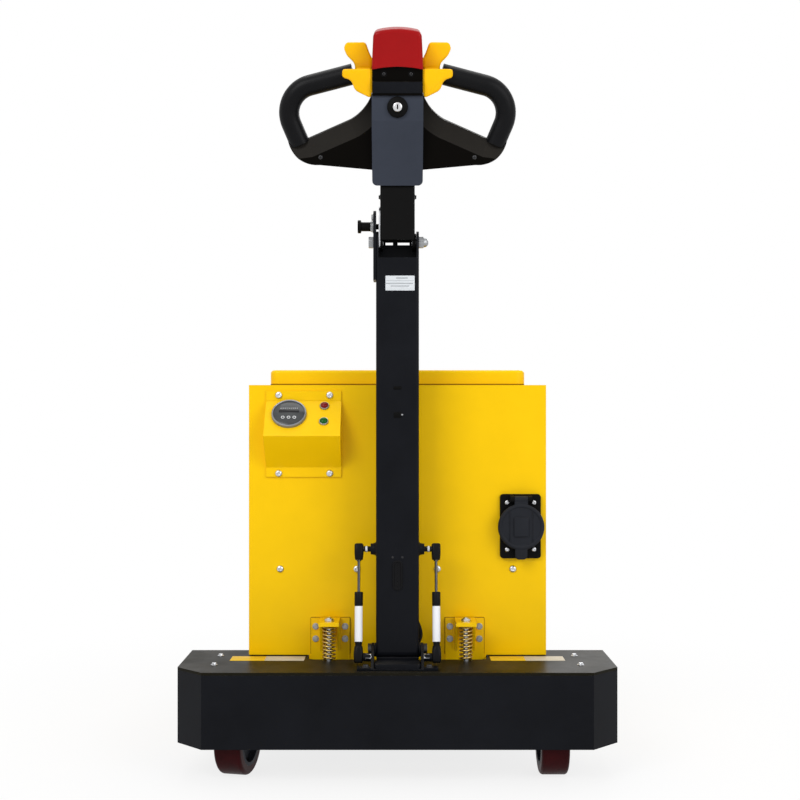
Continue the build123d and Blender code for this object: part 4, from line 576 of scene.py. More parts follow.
# Each piece of like fasteners: name, finish, and groups of shape, share of the usual radius, x values,
# depths, heights and direction
FRONT_FASTENERS = (
    ("panel_screws", "zinc", (
        (dome_screw, 1.0, (-176, -61, 60, 173), (CABINET_FRONT,), (290,), -Y_AXIS),
        (dome_screw, 1.0, (-178, -101.6), (123.5,), (550.5, 433.5), -Y_AXIS),
    )),
    ("socket_screws", "zinc", ((dome_screw, 0.7, (164, 204), (120,), (390, 320), -Y_AXIS),)),
    ("base_bolts", "zinc", ((hex_bolt, 0.56, (-265, 265), (57, 125), (BASE_TOP,), Z_AXIS),)),
    ("bracket_bolts", "dull_zinc", (
        (hex_bolt, 0.57, (-122.5, -78.5, 78.5, 122.5), (122,), (204.5, 186), -Y_AXIS),
    )),
    ("foot_bolts", "dark_screw", ((hex_bolt, 0.7, (-45, 45), (19.5,), (164,), Z_AXIS),)),
)
CABINET_SCREWS = (
    ("cabinet_screws", "zinc", (
        (dome_screw, 1.0, (-CABINET_SIDE,), (160, 430, 706), (544, 300), -X_AXIS),
        (dome_screw, 1.0, (CABINET_SIDE,), (160, 430, 706), (544, 300), X_AXIS),
        (dome_screw, 1.0, (-205, 205), (CABINET_REAR,), (546, 360, 184), Y_AXIS),
        (dome_screw, 1.0, (-205, 205), (480, 706), (CABINET_TOP,), Z_AXIS),
    )),
)


def fasten(pieces, sizes):
    """Makes each piece with a head at every place that its groups' x values, depths and heights give."""
    usual = {dome_screw: sizes.screw_radius / MM, hex_bolt: sizes.bolt_radius / MM}
    for name, look, groups in pieces:
        shell = Shell()
        for shape, share, across_x, depths, heights, out in groups:
            for place in product(across_x, depths, heights):
                shape(shell, at(*place), out, share * usual[shape])
        shell.piece(name, "chassis", "zinc", look)


class TUG_OT_fasteners(bpy.types.Operator):
    """Screws of the cabinet, gauge housing and socket, and bolts of the base, brackets and tiller foot"""

    bl_idname = "tug.fasteners"
    bl_label = "Fasteners"

    def execute(self, context):
        fasten(FRONT_FASTENERS, context.scene.tug_sizes)
        return {"FINISHED"}


GAS_FOOT, GAS_HEAD = at(0, 40, 174), at(0, 70, 326)
GAS_ALONG = unit(GAS_HEAD - GAS_FOOT)
GAS_X = 56 * MM
GAS_END = [
    (-8.0, 0.2, 0.2, 0, 4), (-8.0, 4.6, 4.6, 0, 4), (-7.2, 5.9, 5.9, 0, 4), (-5.5, 6.6, 6.8, 0, 4),
    (4.0, 6.7, 6.9, 0, 4), (9.0, 6.5, 6.6, 0, 3.4), (13.0, 6.1, 6.1, 0, 2.6), (15.2, 5.8, 5.8, 0, 2),
    (16.0, 5.2, 5.2, 0, 2), (16.0, 0.2, 0.2, 0, 2),
]
GAS_BODY = [
    (0, 15.5), (4.8, 15.5), (4.8, 19.5), (5.2, 20.2), (5.3, 21.0), (5.3, 73.0), (5.8, 73.2), (6.1, 74.0),
    (6.1, 91.6), (5.7, 92.7), (5.0, 93.0), (3.6, 93.0), (3.2, 92.2), (2.6, 92.0), (2.6, 30.0), (0, 30.0),
]
GAS_SLEEVE = [(5.1, 21.8), (5.6, 22.0), (5.65, 22.6), (5.65, 71.8), (5.6, 72.4), (5.1, 72.6)]
GAS_BAR = [(0, 12.0), (3.4, 12.0), (3.4, 17.4), (3.0, 17.8), (2.1, 18.0), (2.1, 92.0), (0, 92.0)]
GAS_BOSS = [(10.8, 30.9), (10.6, 31.4), (9.4, 32.3), (8.6, 34.0), (8.15, 36.4), (8.05, 38.6)]
UPPER_STUD = [
    (0, 38.0), (3.4, 38.0), (3.4, 43.4), (4.9, 43.6), (4.9, 46.8), (3.6, 47.4), (2.9, 49.0), (2.9, 50.4),
    (0, 50.4),
]
LOWER_STUD = [
    (0, 37.8), (6.1, 37.8), (6.1, 41.5, 6), (6.1, 45.6, 6), (3.6, 46.6), (2.9, 48.6), (2.9, 50.4),
    (0, 50.4),
]


def end_fitting(foot, along):
    """Moulded socket of a gas spring: superellipse levels that close over the ball and narrow to the neck."""
    return lofted(GAS_END, foot, X_AXIS, np.cross(along, X_AXIS), along, 48)


class TUG_OT_gas_springs(bpy.types.Operator):
    """Gas springs with end sockets, steel rods, plain white sleeves, bosses and studs"""

    bl_idname = "tug.gas_springs"
    bl_label = "Gas Springs"

    def execute(self, context):
        for side, sign in SIDES.items():
            outward = sign * X_AXIS
            foot, top = GAS_FOOT + GAS_X * outward, GAS_HEAD + GAS_X * outward
            body = Shell().grid(end_fitting(foot, GAS_ALONG)).lathe(GAS_BODY, foot, GAS_ALONG, steps=40)
            made = body.piece("gas_body_" + side, "gas_cylinder_" + side, "gas_black")
            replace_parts(made, "gas_cylinder_" + side)
            sleeve = Shell().lathe(GAS_SLEEVE, foot, GAS_ALONG, steps=40)
            sleeve.piece("gas_sleeve_" + side, "gas_cylinder_" + side, "gas_black", "gas_sleeve")
            fitting = Shell().grid(end_fitting(top, -GAS_ALONG))
            made = fitting.piece("gas_socket_" + side, "gas_rod_" + side, "gas_black")
            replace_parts(made, "gas_rod_" + side)
            bar = Shell().lathe(GAS_BAR, top, -GAS_ALONG)
            bar.piece("gas_bar_" + side, "gas_rod_" + side, "zinc", "rod_steel")
            boss = Shell().lathe(GAS_BOSS, GAS_HEAD, outward, steps=40)
            boss.piece("gas_boss_" + side, "tiller", "black_paint")
            stud = Shell().lathe(UPPER_STUD, GAS_HEAD, outward, steps=24)
            stud.piece("gas_stud_upper_" + side, "tiller", "zinc")
            stud = Shell().lathe(LOWER_STUD, GAS_FOOT, outward, steps=24)
            stud.piece("gas_stud_lower_" + side, "chassis", "zinc")
        return {"FINISHED"}


# The gauge housing's sloping face: its run, its fall and the height of its upper edge
SLOPE_RUN, SLOPE_FALL, SLOPE_TOP = 47, 55, 545
GAUGE_OUT = unit([0, -SLOPE_FALL, SLOPE_RUN])
GAUGE_UP = unit([0, SLOPE_RUN, SLOPE_FALL])
ON_GAUGE = (X_AXIS, GAUGE_UP, GAUGE_OUT)
GAUGE_BEZEL = [
    (0, 2.0), (23.2, 2.0), (23.4, 4.6), (24.2, 5.2), (25.2, 5.0), (25.9, 4.0), (26.0, 2.4), (26.0, -0.2),
    (0, -0.2),
]
GAUGE_FACE = [(0, 1.8), (23.3, 1.8), (23.3, 3.6), (22.6, 4.1), (12.0, 4.6), (0, 4.8)]
GAUGE_CIRCLE = [(1.7, 4.0), (1.7, 4.95), (2.6, 4.95), (2.6, 4.0)]
GAUGE_X, GAUGE_Z, LAMP_X = -161, 521.5, -109
WINDOW_RISE, CIRCLE_RISE, CIRCLE_PITCH = 3.2, -9.0, 8.5
TICK_RISE, TICK_REACH, TICK_COUNT = 8.4, 12, 9
LAMP_HEIGHTS = (("lamp_red", 534), ("lamp_green", 511))
LAMP_RADIUS, LAMP_SHOULDER, LAMP_RISE = 5.7, 2.4, 3.8
LAMP_RING = [(5.6, 0.2), (5.6, 2.4), (6.0, 2.9), (6.5, 2.8), (7.0, 2.0), (7.3, 0.8), (7.3, -0.2)]


def on_slope(x, z):
    """Point on the sloping face of the gauge housing at a given x and height."""
    return at(x, CABINET_FRONT - SLOPE_RUN * (SLOPE_TOP - z) / SLOPE_FALL, z)


class TUG_OT_gauge(bpy.types.Operator):
    """Battery gauge with a bezel, a dark window and plain marks, and two lamps in plated bezels"""

    bl_idname = "tug.gauge"
    bl_label = "Gauge"

    def execute(self, context):
        middle = on_slope(GAUGE_X, GAUGE_Z)
        bezel = Shell().lathe(GAUGE_BEZEL, middle, GAUGE_OUT, steps=72)
        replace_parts(bezel.piece("gauge_bezel", "chassis", "gauge", "gauge_rim"), "battery_gauge")
        face = Shell().lathe(GAUGE_FACE, middle, GAUGE_OUT, steps=72)
        face.piece("gauge_face", "chassis", "gauge", "gauge_face")
        window = Shell().plate([(0, 3.0), (0, 4.9), (0.5, 5.2)], middle + WINDOW_RISE * MM * GAUGE_UP,
                               ON_GAUGE, size=(30, 5.2), corner=1.2)
        window.piece("gauge_window", "chassis", "gauge", "gauge_window")
        marks = Shell()
        for x in (-CIRCLE_PITCH, 0.0, CIRCLE_PITCH):
            spot = middle + (x * X_AXIS + CIRCLE_RISE * GAUGE_UP) * MM
            marks.lathe(GAUGE_CIRCLE, spot, GAUGE_OUT, steps=20, closed=True)
        for x in np.linspace(-TICK_REACH, TICK_REACH, TICK_COUNT):
            spot = middle + (x * X_AXIS + TICK_RISE * GAUGE_UP) * MM
            marks.plate([(0, 3.8), (0, 4.95)], spot, ON_GAUGE, size=(0.7, 1.8), corner=0.2, steps=3)
        marks.piece("gauge_marks", "chassis", "gauge", "gauge_marks")
        angle = np.linspace(0, np.pi / 2, 9)
        dome = np.stack([LAMP_RADIUS * np.cos(angle), LAMP_SHOULDER + LAMP_RISE * np.sin(angle)], 1)
        for name, z in LAMP_HEIGHTS:
            spot = on_slope(LAMP_X, z)
            lens = Shell().lathe([(0, 1.0), (LAMP_RADIUS, 1.0), *dome.tolist()], spot, GAUGE_OUT)
            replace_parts(lens.piece(name + "_lens", "chassis", name), name)
            ring = Shell().lathe(LAMP_RING, spot, GAUGE_OUT)
            ring.piece(name + "_ring", "chassis", "zinc", "dull_zinc")
        return {"FINISHED"}


SOCKET_X, SOCKET_Z, FLAP_REAR = 184.0, 354.5, 111.7
FLAP_TAB_Z, FLAP_LEAF_Z, FLAP_RIB_X = 317, 389.2, 17
FLAP_HINGE = (110.7, 395.5)
FLAP_CAP = [
    (0, 0), (33.6, 0), (34.5, 0.8), (34.5, 3.4), (33.8, 4.8), (32.2, 5.7), (30.6, 5.9), (29.4, 5.4),
    (28.6, 4.6), (18.0, 5.2), (0, 5.6),
]
FLAP_KNUCKLE = [(2.75, -10), (4.6, -10), (5.0, -9.6), (5.0, 9.6), (4.6, 10), (2.75, 10)]


class TUG_OT_socket(bpy.types.Operator):
    """Flap of the charging socket: a dished cap with a bead, a raised pad, ribs, a finger tab and a hinge"""

    bl_idname = "tug.socket"
    bl_label = "Charging Socket"

    def execute(self, context):
        middle = at(SOCKET_X, FLAP_REAR, SOCKET_Z)
        cap = Shell().lathe(FLAP_CAP, middle, -Y_AXIS, steps=72)
        cap.plate([(0, 3.0), (0, 7.2), (0.4, 7.8), (1.2, 8.0)], middle, FRONTAL, size=(22, 28.6),
                  corner=3.0)
        cap.plate([(0.6, 1.0), (0, 1.6), (0, 4.2), (0.5, 4.8), (1.4, 5.0)],
                  at(SOCKET_X, FLAP_REAR, FLAP_TAB_Z), FRONTAL, size=(18, 22), corner=(7, 7, 2.5, 2.5),
                  steps=10)
        cap.plate([(0, 0.2), (0, 4.4), (0.6, 5.0)], at(SOCKET_X, FLAP_REAR, FLAP_LEAF_Z), FRONTAL,
                  size=(20, 12.5), corner=1.0)
        cap.lathe(FLAP_KNUCKLE, at(SOCKET_X, *FLAP_HINGE), X_AXIS, steps=28, closed=True)
        for x in (-FLAP_RIB_X, FLAP_RIB_X):
            cap.plate([(0, 4.0), (0, 5.7), (0.3, 6.0)], at(SOCKET_X + x, FLAP_REAR, SOCKET_Z), FRONTAL,
                      size=(1.4, 44), corner=0.6, steps=4)
        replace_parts(cap.piece("flap_cap", "socket_flap", "black_plastic", "flap_plastic"), "socket_flap")
        return {"FINISHED"}


BRACKET_X, BRACKET_Z, LEDGE_DEPTH, TOE_DEPTH, TOE_Z = 100.5, 190, 30, 52.2, 168.6


class TUG_OT_front(bpy.types.Operator):
    """Painted shade in the seam round each spring bracket, the ledge on the base under the tiller and the toe
    of its tube
    """

    bl_idname = "tug.front"
    bl_label = "Front Trim"

    def execute(self, context):
        # A dark amber rim round each bracket plate: painted shade in the gap between the bracket and the
        # panel
        seam_shade_rims = Shell()
        for x in (-BRACKET_X, BRACKET_X):
            seam_shade_rims.plate([(0, -0.1), (0, 0.5), (0.3, 0.7)], at(x, CABINET_FRONT, BRACKET_Z), FRONTAL,
                        size=(60, 56), corner=2.0)
        seam_shade_rims.piece("bracket_seams", "chassis", "black_paint", "seam_shade")
        ledge = Shell().plate([(0, -0.1), (0, 7.4), (0.5, 8.5), (1.6, 9.0)], at(0, LEDGE_DEPTH, BASE_TOP),
                              LEVEL, size=(66, 30), corner=6.0)
        ledge.piece("tiller_ledge", "chassis", "black_paint")
        toe = Shell().plate([(0, -8.0), (0, 1.6), (0.5, 2.0)], at(0, TOE_DEPTH, TOE_Z), FRONTAL,
                            size=(61.4, 7), corner=1.0)
        toe.piece("tiller_toe", "tiller", "black_paint")
        return {"FINISHED"}


# Each blade of a throttle paddle: outline across and up the head, corner lengths, reach and curl
PADDLE_BLADES = (
    ([(36.2, 152), (60, 152), (60, 172), (71, 183), (75.4, 193), (72, 201), (44.6, 201), (40, 188),
      (36.2, 180)], (4, 4, 5, 3, 3.8, 4.2, 4.2, 2, 2), -2.6, 4.0),
    ([(36.2, 126), (59.5, 137), (65, 151), (77.6, 155), (77.2, 166), (36.2, 167)],
     (7, 5, 5, 4, 4.4, 4), 19.2, -3.0),
)
# Each strip between a blade and the head: rise, height and reach
PADDLE_STRIPS = ((150, 32, 20.2), (166.5, 27, -1.6))
STRIP_X, STRIP_SHEET, WEB_X, WEB_REACH = 36.5, 3.2, 45, 21
PADDLE_SHEET, PADDLE_RISE, PADDLE_BEND_X = 5.2, 158, 38
PADDLE_HUB = [(0, 37.8), (8.4, 37.8), (9.0, 38.6), (9.0, 56.2), (8.4, 57.0), (0, 57.0)]
# The cover above its fold falls back by this much over this rise
COVER_FALL, COVER_RUN = 7, 34
FOLD_RISE, FOLD_REACH, KEY_RISE = 97, 33, 115
KEY_RING = [
    (0, -0.3), (14.5, -0.3), (14.5, 2.6), (13.9, 3.9), (12.6, 4.7), (10.4, 5.0), (8.8, 5.4), (7.8, 6.2),
    (7.2, 6.2), (6.8, 5.4), (6.8, 4.0), (0, 4.0),
]
KEY_CORE = [(6.7, 3.6), (6.7, 6.6), (6.2, 7.4), (5.0, 7.9), (1.6, 8.0)]
KEY_HOLE = [(0, 7.2), (1.7, 7.2), (1.7, 8.0)]
SCREW_CUP = [(4.6, 25.7), (4.6, 26.3), (4.0, 26.7), (3.4, 26.3), (3.2, 25.6)]
BAND_RISE, BAND_REACH = 141.8, 29
BAND_SCREWS, BAND_SCREW_RISE, BAND_SCREW_REACH = (-19, 19), 160, 25.4
WING_SCREWS, WING_SCREW_RISE, WING_SCREW_REACH = (-110, 110), 44, 18.6


def blade(points, corner, reach, curl, thickness):
    """Paddle blade: a rounded outline with a half-round rim, bent along a parabola as it leaves the hub."""
    outline = rounded_outline(points, corner, 8)
    half = thickness / 2
    angle = np.linspace(-np.pi / 2, np.pi / 2, 9)
    profile = np.stack([half * (1 - np.cos(angle)), half + half * np.sin(angle)], 1)
    flat = rimmed(outline, profile, np.zeros(3), *LEVEL) / MM
    bend = curl * ((flat[..., 0] - PADDLE_BEND_X) / PADDLE_BEND_X) ** 2
    local = np.stack([flat[..., 0], flat[..., 1], reach + flat[..., 2] + bend], -1)
    return HEAD_FOOT + MM * (local @ np.stack(ON_HEAD))


class TUG_OT_head(bpy.types.Operator):
    """Throttle paddles, key lock, band facing and the screws of the tiller head"""

    bl_idname = "tug.head"
    bl_label = "Tiller Head"

    def execute(self, context):
        paddles = Shell()
        for sign in SIDES.values():
            for points, corner, reach, curl in PADDLE_BLADES:
                paddles.grid(blade(points, corner, reach, curl, PADDLE_SHEET) * (sign, 1, 1), caps=True)
            paddles.lathe(PADDLE_HUB, head(0, PADDLE_RISE, 0), sign * X_AXIS, steps=40)
            for rise, tall, reach in PADDLE_STRIPS:
                paddles.plate([(0, reach), (0, reach + STRIP_SHEET)], head(sign * STRIP_X, rise, 0),
                              ON_HEAD, size=(4.6, tall), corner=0.4, steps=3)
            paddles.plate([(0, 0), (0, WEB_REACH)], head(sign * WEB_X, PADDLE_RISE, 0), ON_HEAD,
                          size=(14, 8), corner=2.0)
        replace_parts(paddles.piece("paddle_blades", "handle", "yellow_plastic"), "throttle_paddles")

        fall = math.atan2(COVER_FALL, COVER_RUN)
        key_out = math.cos(fall) * HEAD_OUT + math.sin(fall) * HEAD_UP
        key_up = np.cross(X_AXIS, key_out)
        spot = head(0, KEY_RISE, FOLD_REACH - COVER_FALL * (KEY_RISE - FOLD_RISE) / COVER_RUN)
        ring = Shell().lathe(KEY_RING, spot, key_out, steps=56)
        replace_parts(ring.piece("key_ring", "handle", "key_metal", "black_plastic"), "key_switch")
        core = Shell().lathe(KEY_CORE, spot, key_out, steps=48).lathe(KEY_HOLE, spot, key_out, steps=48)
        core.piece("key_core", "handle", "key_metal")
        # A black plate on the core: painted shade inside the keyway slot
        keyway_shade_plate = Shell().plate([(0, 6.6), (0, 8.12)], spot, (X_AXIS, key_up, key_out), size=(1.9, 6.4),
                               corner=0.5, steps=4)
        keyway_shade_plate.piece("key_way", "handle", "key_metal", "black_plastic")

        facing = Shell().plate([(0, -0.2), (0, 0.3), (0.4, 0.5)], head(0, BAND_RISE, BAND_REACH), ON_HEAD,
                               size=(69, 15.4), corner=0.8, steps=4)
        facing.piece("band_facing", "handle", "black_plastic", "black_paint")
        screws, cups = Shell(), Shell()
        for x in BAND_SCREWS:
            dome_screw(screws, head(x, BAND_SCREW_RISE, BAND_SCREW_REACH), HEAD_OUT, radius=2.6)
            cups.lathe(SCREW_CUP, head(x, BAND_SCREW_RISE, 0), HEAD_OUT, steps=28)
        for x in WING_SCREWS:
            dome_screw(screws, head(x, WING_SCREW_RISE, WING_SCREW_REACH), HEAD_OUT, radius=3.4)
        screws.piece("head_screws", "handle", "black_plastic", "dark_screw")
        cups.piece("head_screw_cups", "handle", "black_plastic")
        return {"FINISHED"}


HINGE_DEPTH, HINGE_Z, APRON_DEPTH = 70, 772, 91.2
INDEX_PLATE_X, PLUNGER_Z, PLATE_BOLT_Z = -35, 795, 808
PLATE_BOLT_DEPTHS = (62, 78)
SHAFT_SIDE, SHAFT_SCREW_Z = 25, 838
PLUNGER_KNOB = [
    (0, -7.6), (4.0, -7.6), (4.0, 3.6), (6.6, 4.0), (6.6, 16.8), (7.0, 17.6), (8.9, 18.0), (9.5, 18.6),
    (9.5, 22.2), (8.9, 22.9), (6.0, 23.0), (0, 22.6),
]
PLUNGER_NUT = [
    (0, 0), (9.2, 0), (9.2, 1.0), (8.6, 1.3), (8.2, 1.3, 6), (8.2, 3.7, 6), (7.2, 4.2), (0, 4.2),
]
HINGE_HEAD = [(0, 20.5), (5.0, 20.5), (5.0, 35.0), (9.0, 35.0, 6), (9.0, 41.2, 6), (7.8, 42.0), (0, 42.0)]
HINGE_CAP = [
    (0, 20.5), (5.0, 20.5), (5.0, 31.0), (9.0, 31.0, 6), (9.0, 37.2, 6), (7.6, 38.0), (7.0, 38.2),
    (6.6, 40.6), (5.4, 43.0), (3.0, 44.6), (0, 45.0),
]
HINGE_SPACER = [(5.2, 25.1), (12.6, 25.1), (12.9, 25.4), (12.9, 26.8), (12.6, 27.1), (5.2, 27.1)]
# Wall behind the hinge, across and up: fingers stand at its ends and beside its middle
HINGE_APRON = [
    (-27.4, 764), (27.4, 764), (27.4, 779), (17.6, 779), (17.6, 770.8), (0.2, 770.8), (0.2, 779),
    (-6.8, 779), (-6.8, 770.8), (-17.6, 770.8), (-17.6, 779), (-27.4, 779),
]


class TUG_OT_hinge(bpy.types.Operator):
    """Index plunger with its knob and nut, and the bolt ends, spacer, apron and screws of the fold hinge"""

    bl_idname = "tug.hinge"
    bl_label = "Fold Hinge"

    def execute(self, context):
        seat = at(INDEX_PLATE_X, HINGE_DEPTH, PLUNGER_Z)
        knob = Shell().lathe(PLUNGER_KNOB, seat, -X_AXIS, steps=40)
        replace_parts(knob.piece("plunger_knob", "tiller", "black_plastic"), "index_plunger")
        nuts = Shell().lathe(PLUNGER_NUT, seat, -X_AXIS, steps=36)
        for depth in PLATE_BOLT_DEPTHS:
            hex_bolt(nuts, at(INDEX_PLATE_X, depth, PLATE_BOLT_Z), -X_AXIS, radius=3.6)
        nuts.piece("hinge_nuts", "tiller", "zinc", "dull_zinc")
        axis = at(0, HINGE_DEPTH, HINGE_Z)
        studs = Shell().lathe(HINGE_HEAD, axis, -X_AXIS, steps=36).lathe(HINGE_CAP, axis, X_AXIS, steps=36)
        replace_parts(studs.piece("hinge_studs", "tiller", "zinc", "dull_zinc"), "hinge_bolt")
        spacer = Shell().lathe(HINGE_SPACER, axis, X_AXIS, steps=48, closed=True)
        spacer.piece("hinge_spacer", "handle", "black_plastic")
        apron = Shell().plate([(0, 0), (0, 2.4)], at(0, APRON_DEPTH, 0), FRONTAL, outline=HINGE_APRON,
                              corner=0.4, steps=3)
        apron.piece("hinge_apron", "tiller", "black_paint")
        sides = Shell()
        for sign in SIDES.values():
            hex_bolt(sides, at(sign * SHAFT_SIDE, HINGE_DEPTH, SHAFT_SCREW_Z), sign * X_AXIS, radius=3.0)
        sides.piece("shaft_screws", "handle", "zinc", "dark_screw")
        return {"FINISHED"}


CABLE_ROUTE = [(16, 95.3, 254), (20, 96.2, 230), (33.6, 96.8, 208), (34.8, 96.6, 188), (21, 96.2, 172)]
CABLE_DIAMETER = 6.0
GROMMET_Z, RIVET_Z, RIVETS = 290, 316, (-7, 7)
# Each clip slot: z and height
CLIP_SLOTS = ((521, 8), (560, 4.6))
TONGUE_X, TONGUE_Z = 6.6, 521.4
GROMMET = [(0, -0.2), (0, 1.1), (0.5, 1.7), (1.5, 1.9), (2.6, 1.6), (3.0, 0.9), (3.2, 0.5)]


class TUG_OT_tiller(bpy.types.Operator):
    """Grommet, rivets, painted shade of the clip slots, and cable of the tiller tube"""

    bl_idname = "tug.tiller"
    bl_label = "Tiller Trim"

    def execute(self, context):
        grommet = Shell().plate(GROMMET, at(0, TUBE_FRONT, GROMMET_Z), FRONTAL, size=(15, 43), corner=7.4,
                                steps=10)
        grommet.piece("tiller_grommet", "tiller", "black_paint", "grip_rubber")
        rivets = Shell()
        for x in RIVETS:
            dome_screw(rivets, at(x, TUBE_FRONT, RIVET_Z), -Y_AXIS, radius=1.6)
        rivets.piece("tiller_rivets", "tiller", "black_paint", "dark_screw")
        # Dark plates on the tube: painted shade inside the clip slots
        slot_shades = Shell()
        for z, tall in CLIP_SLOTS:
            slot_shades.plate([(0, -0.2), (0, 0.5), (0.4, 0.8)], at(0, TUBE_FRONT, z), FRONTAL, size=(11.5, tall),
                        corner=1.0)
        slot_shades.piece("tiller_slot", "tiller", "black_paint", "black_plastic")
        tongue = Shell().plate([(0, -0.2), (0, 1.0), (0.3, 1.2)], at(TONGUE_X, TUBE_FRONT, TONGUE_Z),
                               FRONTAL, size=(2.6, 2.2), corner=0.4)
        tongue.piece("tiller_clip", "tiller", "black_paint", "dull_zinc")

        curve = bpy.data.curves.new("tiller_lead", "CURVE")
        curve.dimensions = "3D"
        curve.bevel_depth = CABLE_DIAMETER / 2 * MM
        curve.bevel_resolution = 5
        curve.use_fill_caps = True
        spline = curve.splines.new("NURBS")
        spline.points.add(len(CABLE_ROUTE) - 1)
        route = np.array([at(*point) for point in CABLE_ROUTE])
        spline.points.foreach_set("co", np.column_stack([route, np.ones(len(route))]).ravel())
        spline.order_u = 3
        spline.use_endpoint_u = True
        spline.resolution_u = 12
        lead = bpy.data.objects.new("tiller_lead", curve)
        context.scene.collection.objects.link(lead)
        curve.materials.append(finish("cable_sheath"))
        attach(lead, "tiller")
        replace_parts(lead, "tiller_cable")
        return {"FINISHED"}


AXLE_DEPTH, AXLE_Z, WHEEL_X = 566, 125, 172
TYRE_RADIUS, SHOULDER_RADIUS, SHOULDER_X, CROWN_X = 125.0, 14, 23.5, 21.0
TREAD_STEPS, TREAD_PITCH, TREAD_SKEW, TREAD_DEPTH = 360, 30, 0.022, 6.0
TREAD_START, TREAD_FADE = 112, 6
RIB_X, RIB_HALF, RIB_SLOPE, BAR_HALF, BAR_SLOPE = 9.0, 1.4, 0.9, 0.09, 0.05
TYRE_WALL = np.array([(33.0, 80.2), (35.5, 81.5), (36.6, 86.0), (37.2, 98.0)])
HUB_CAP = [(24, 25.2), (24, 27.5), (22, 30.5), (16, 32.5), (8, 33.4), (0, 33.6)]
NUT_CIRCLE, NUT_COUNT, NUT_SEAT = 52, 5, 16
# Each castor: side, its sign and the turn of its fork at rest in degrees
CASTORS = (("left", -1, -13.0), ("right", 1, 0.0))
CASTOR_X, CASTOR_DEPTH, CASTOR_Z, CASTOR_TRAIL, FORK_HALF = 225, 99, 50, 30, 29


def tyre_surface(sign):
    """Solid tyre: a rounded section turned about the axle. Its radius drops by the groove depth where a
    sawtooth of the angle, skewed by the distance from the middle line, falls inside a groove's width."""
    angle = np.linspace(0, 2 * np.pi, TREAD_STEPS, endpoint=False)
    bend = np.linspace(np.pi / 2, 0, 7)
    corner = np.stack([SHOULDER_X + SHOULDER_RADIUS * np.sin(bend),
                       TYRE_RADIUS - SHOULDER_RADIUS * (1 - np.cos(bend))], 1)
    crown = np.stack([np.linspace(CROWN_X, -CROWN_X, 25), np.full(25, TYRE_RADIUS)], 1)
    half = np.vstack([TYRE_WALL, corner])
    section = np.vstack([half, crown, half[::-1] * (-1, 1)])
    x, radius = section[:, 0][:, None], section[:, 1][:, None]
    skew = angle[None] / (2 * np.pi) * TREAD_PITCH + TREAD_SKEW * np.abs(x)
    phase = np.abs(np.mod(skew + 0.5 * (x > 0), 1.0) - 0.5)
    rib = np.clip((np.abs(np.abs(x) - RIB_X) - RIB_HALF) / RIB_SLOPE, 0, 1)
    bar = np.where(np.abs(x) > RIB_X, np.clip((phase - BAR_HALF) / BAR_SLOPE, 0, 1), 1.0)
    tread = np.clip((radius - TREAD_START) / TREAD_FADE, 0, 1)
    radius = radius - TREAD_DEPTH * (1 - np.minimum(rib, bar)) * tread
    x = np.broadcast_to(x, radius.shape)
    middle = at(sign * WHEEL_X, AXLE_DEPTH, AXLE_Z)
    return middle + MM * np.stack([x, radius * np.cos(angle), radius * np.sin(angle)], -1)


class TUG_OT_wheels(bpy.types.Operator):
    """Drive tyres with moulded tread, wheel nuts and hub caps, and the castors' axle nuts"""

    bl_idname = "tug.wheels"
    bl_label = "Wheels"

    def execute(self, context):
        for side, sign in SIDES.items():
            tyre = Shell().grid(tyre_surface(sign), wrap_rows=True)
            made = tyre.piece("tyre_tread_" + side, "drive_wheel_" + side, "drive_tyre")
            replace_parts(made, "drive_tyre_" + side)
            hub = at(sign * WHEEL_X, AXLE_DEPTH, AXLE_Z)
            outward = sign * X_AXIS
            nuts = Shell()
            for angle in np.arange(NUT_COUNT) * 2 * np.pi / NUT_COUNT:
                spoke = np.array([0, np.cos(angle), np.sin(angle)])
                hex_bolt(nuts, hub + MM * (NUT_CIRCLE * spoke + NUT_SEAT * outward), outward, radius=6.5)
            nuts.piece("wheel_nuts_" + side, "drive_wheel_" + side, "zinc")
            cap = Shell().lathe(HUB_CAP, hub, outward, steps=48)
            cap.piece("hub_cap_" + side, "drive_wheel_" + side, "rim_paint", "black_plastic")
        for side, sign, turn in CASTORS:
            angle = math.radians(turn)
            along = np.array([math.cos(angle), math.sin(angle), 0])
            ahead = np.array([math.sin(angle), -math.cos(angle), 0])
            axle = at(sign * CASTOR_X, CASTOR_DEPTH, CASTOR_Z) + CASTOR_TRAIL * MM * ahead
            nuts = Shell()
            for end in (-1, 1):
                hex_bolt(nuts, axle + end * FORK_HALF * MM * along, end * along, radius=8.2)
            nuts.piece("castor_nuts_" + side, "castor_" + side, "zinc")
        return {"FINISHED"}


LID_WIDTH, LID_LENGTH, LID_MIDDLE, LID_CORNER = 386, 290, 286, 16
# Profile of the painted shade rim along the lid's seam: inset and rise
LID_SEAM_SHADE = [(-0.3, 0.4), (-0.3, 2.2), (1.2, 2.2), (1.2, 0.4)]
HITCH_FACE, HITCH_BOLTS_X, HITCH_BOLTS_Z = 735, (-56, 56), (102, 132)
DRIVE_FLANGE_DEPTH, DRIVE_BOLT_CIRCLE, DRIVE_BOLTS = 358, 42, 6
TERMINALS, TERMINAL_DEPTH, TERMINAL_TOP, LINK_SINK = (-145, -35, 35, 145), 176, 424, 0.2


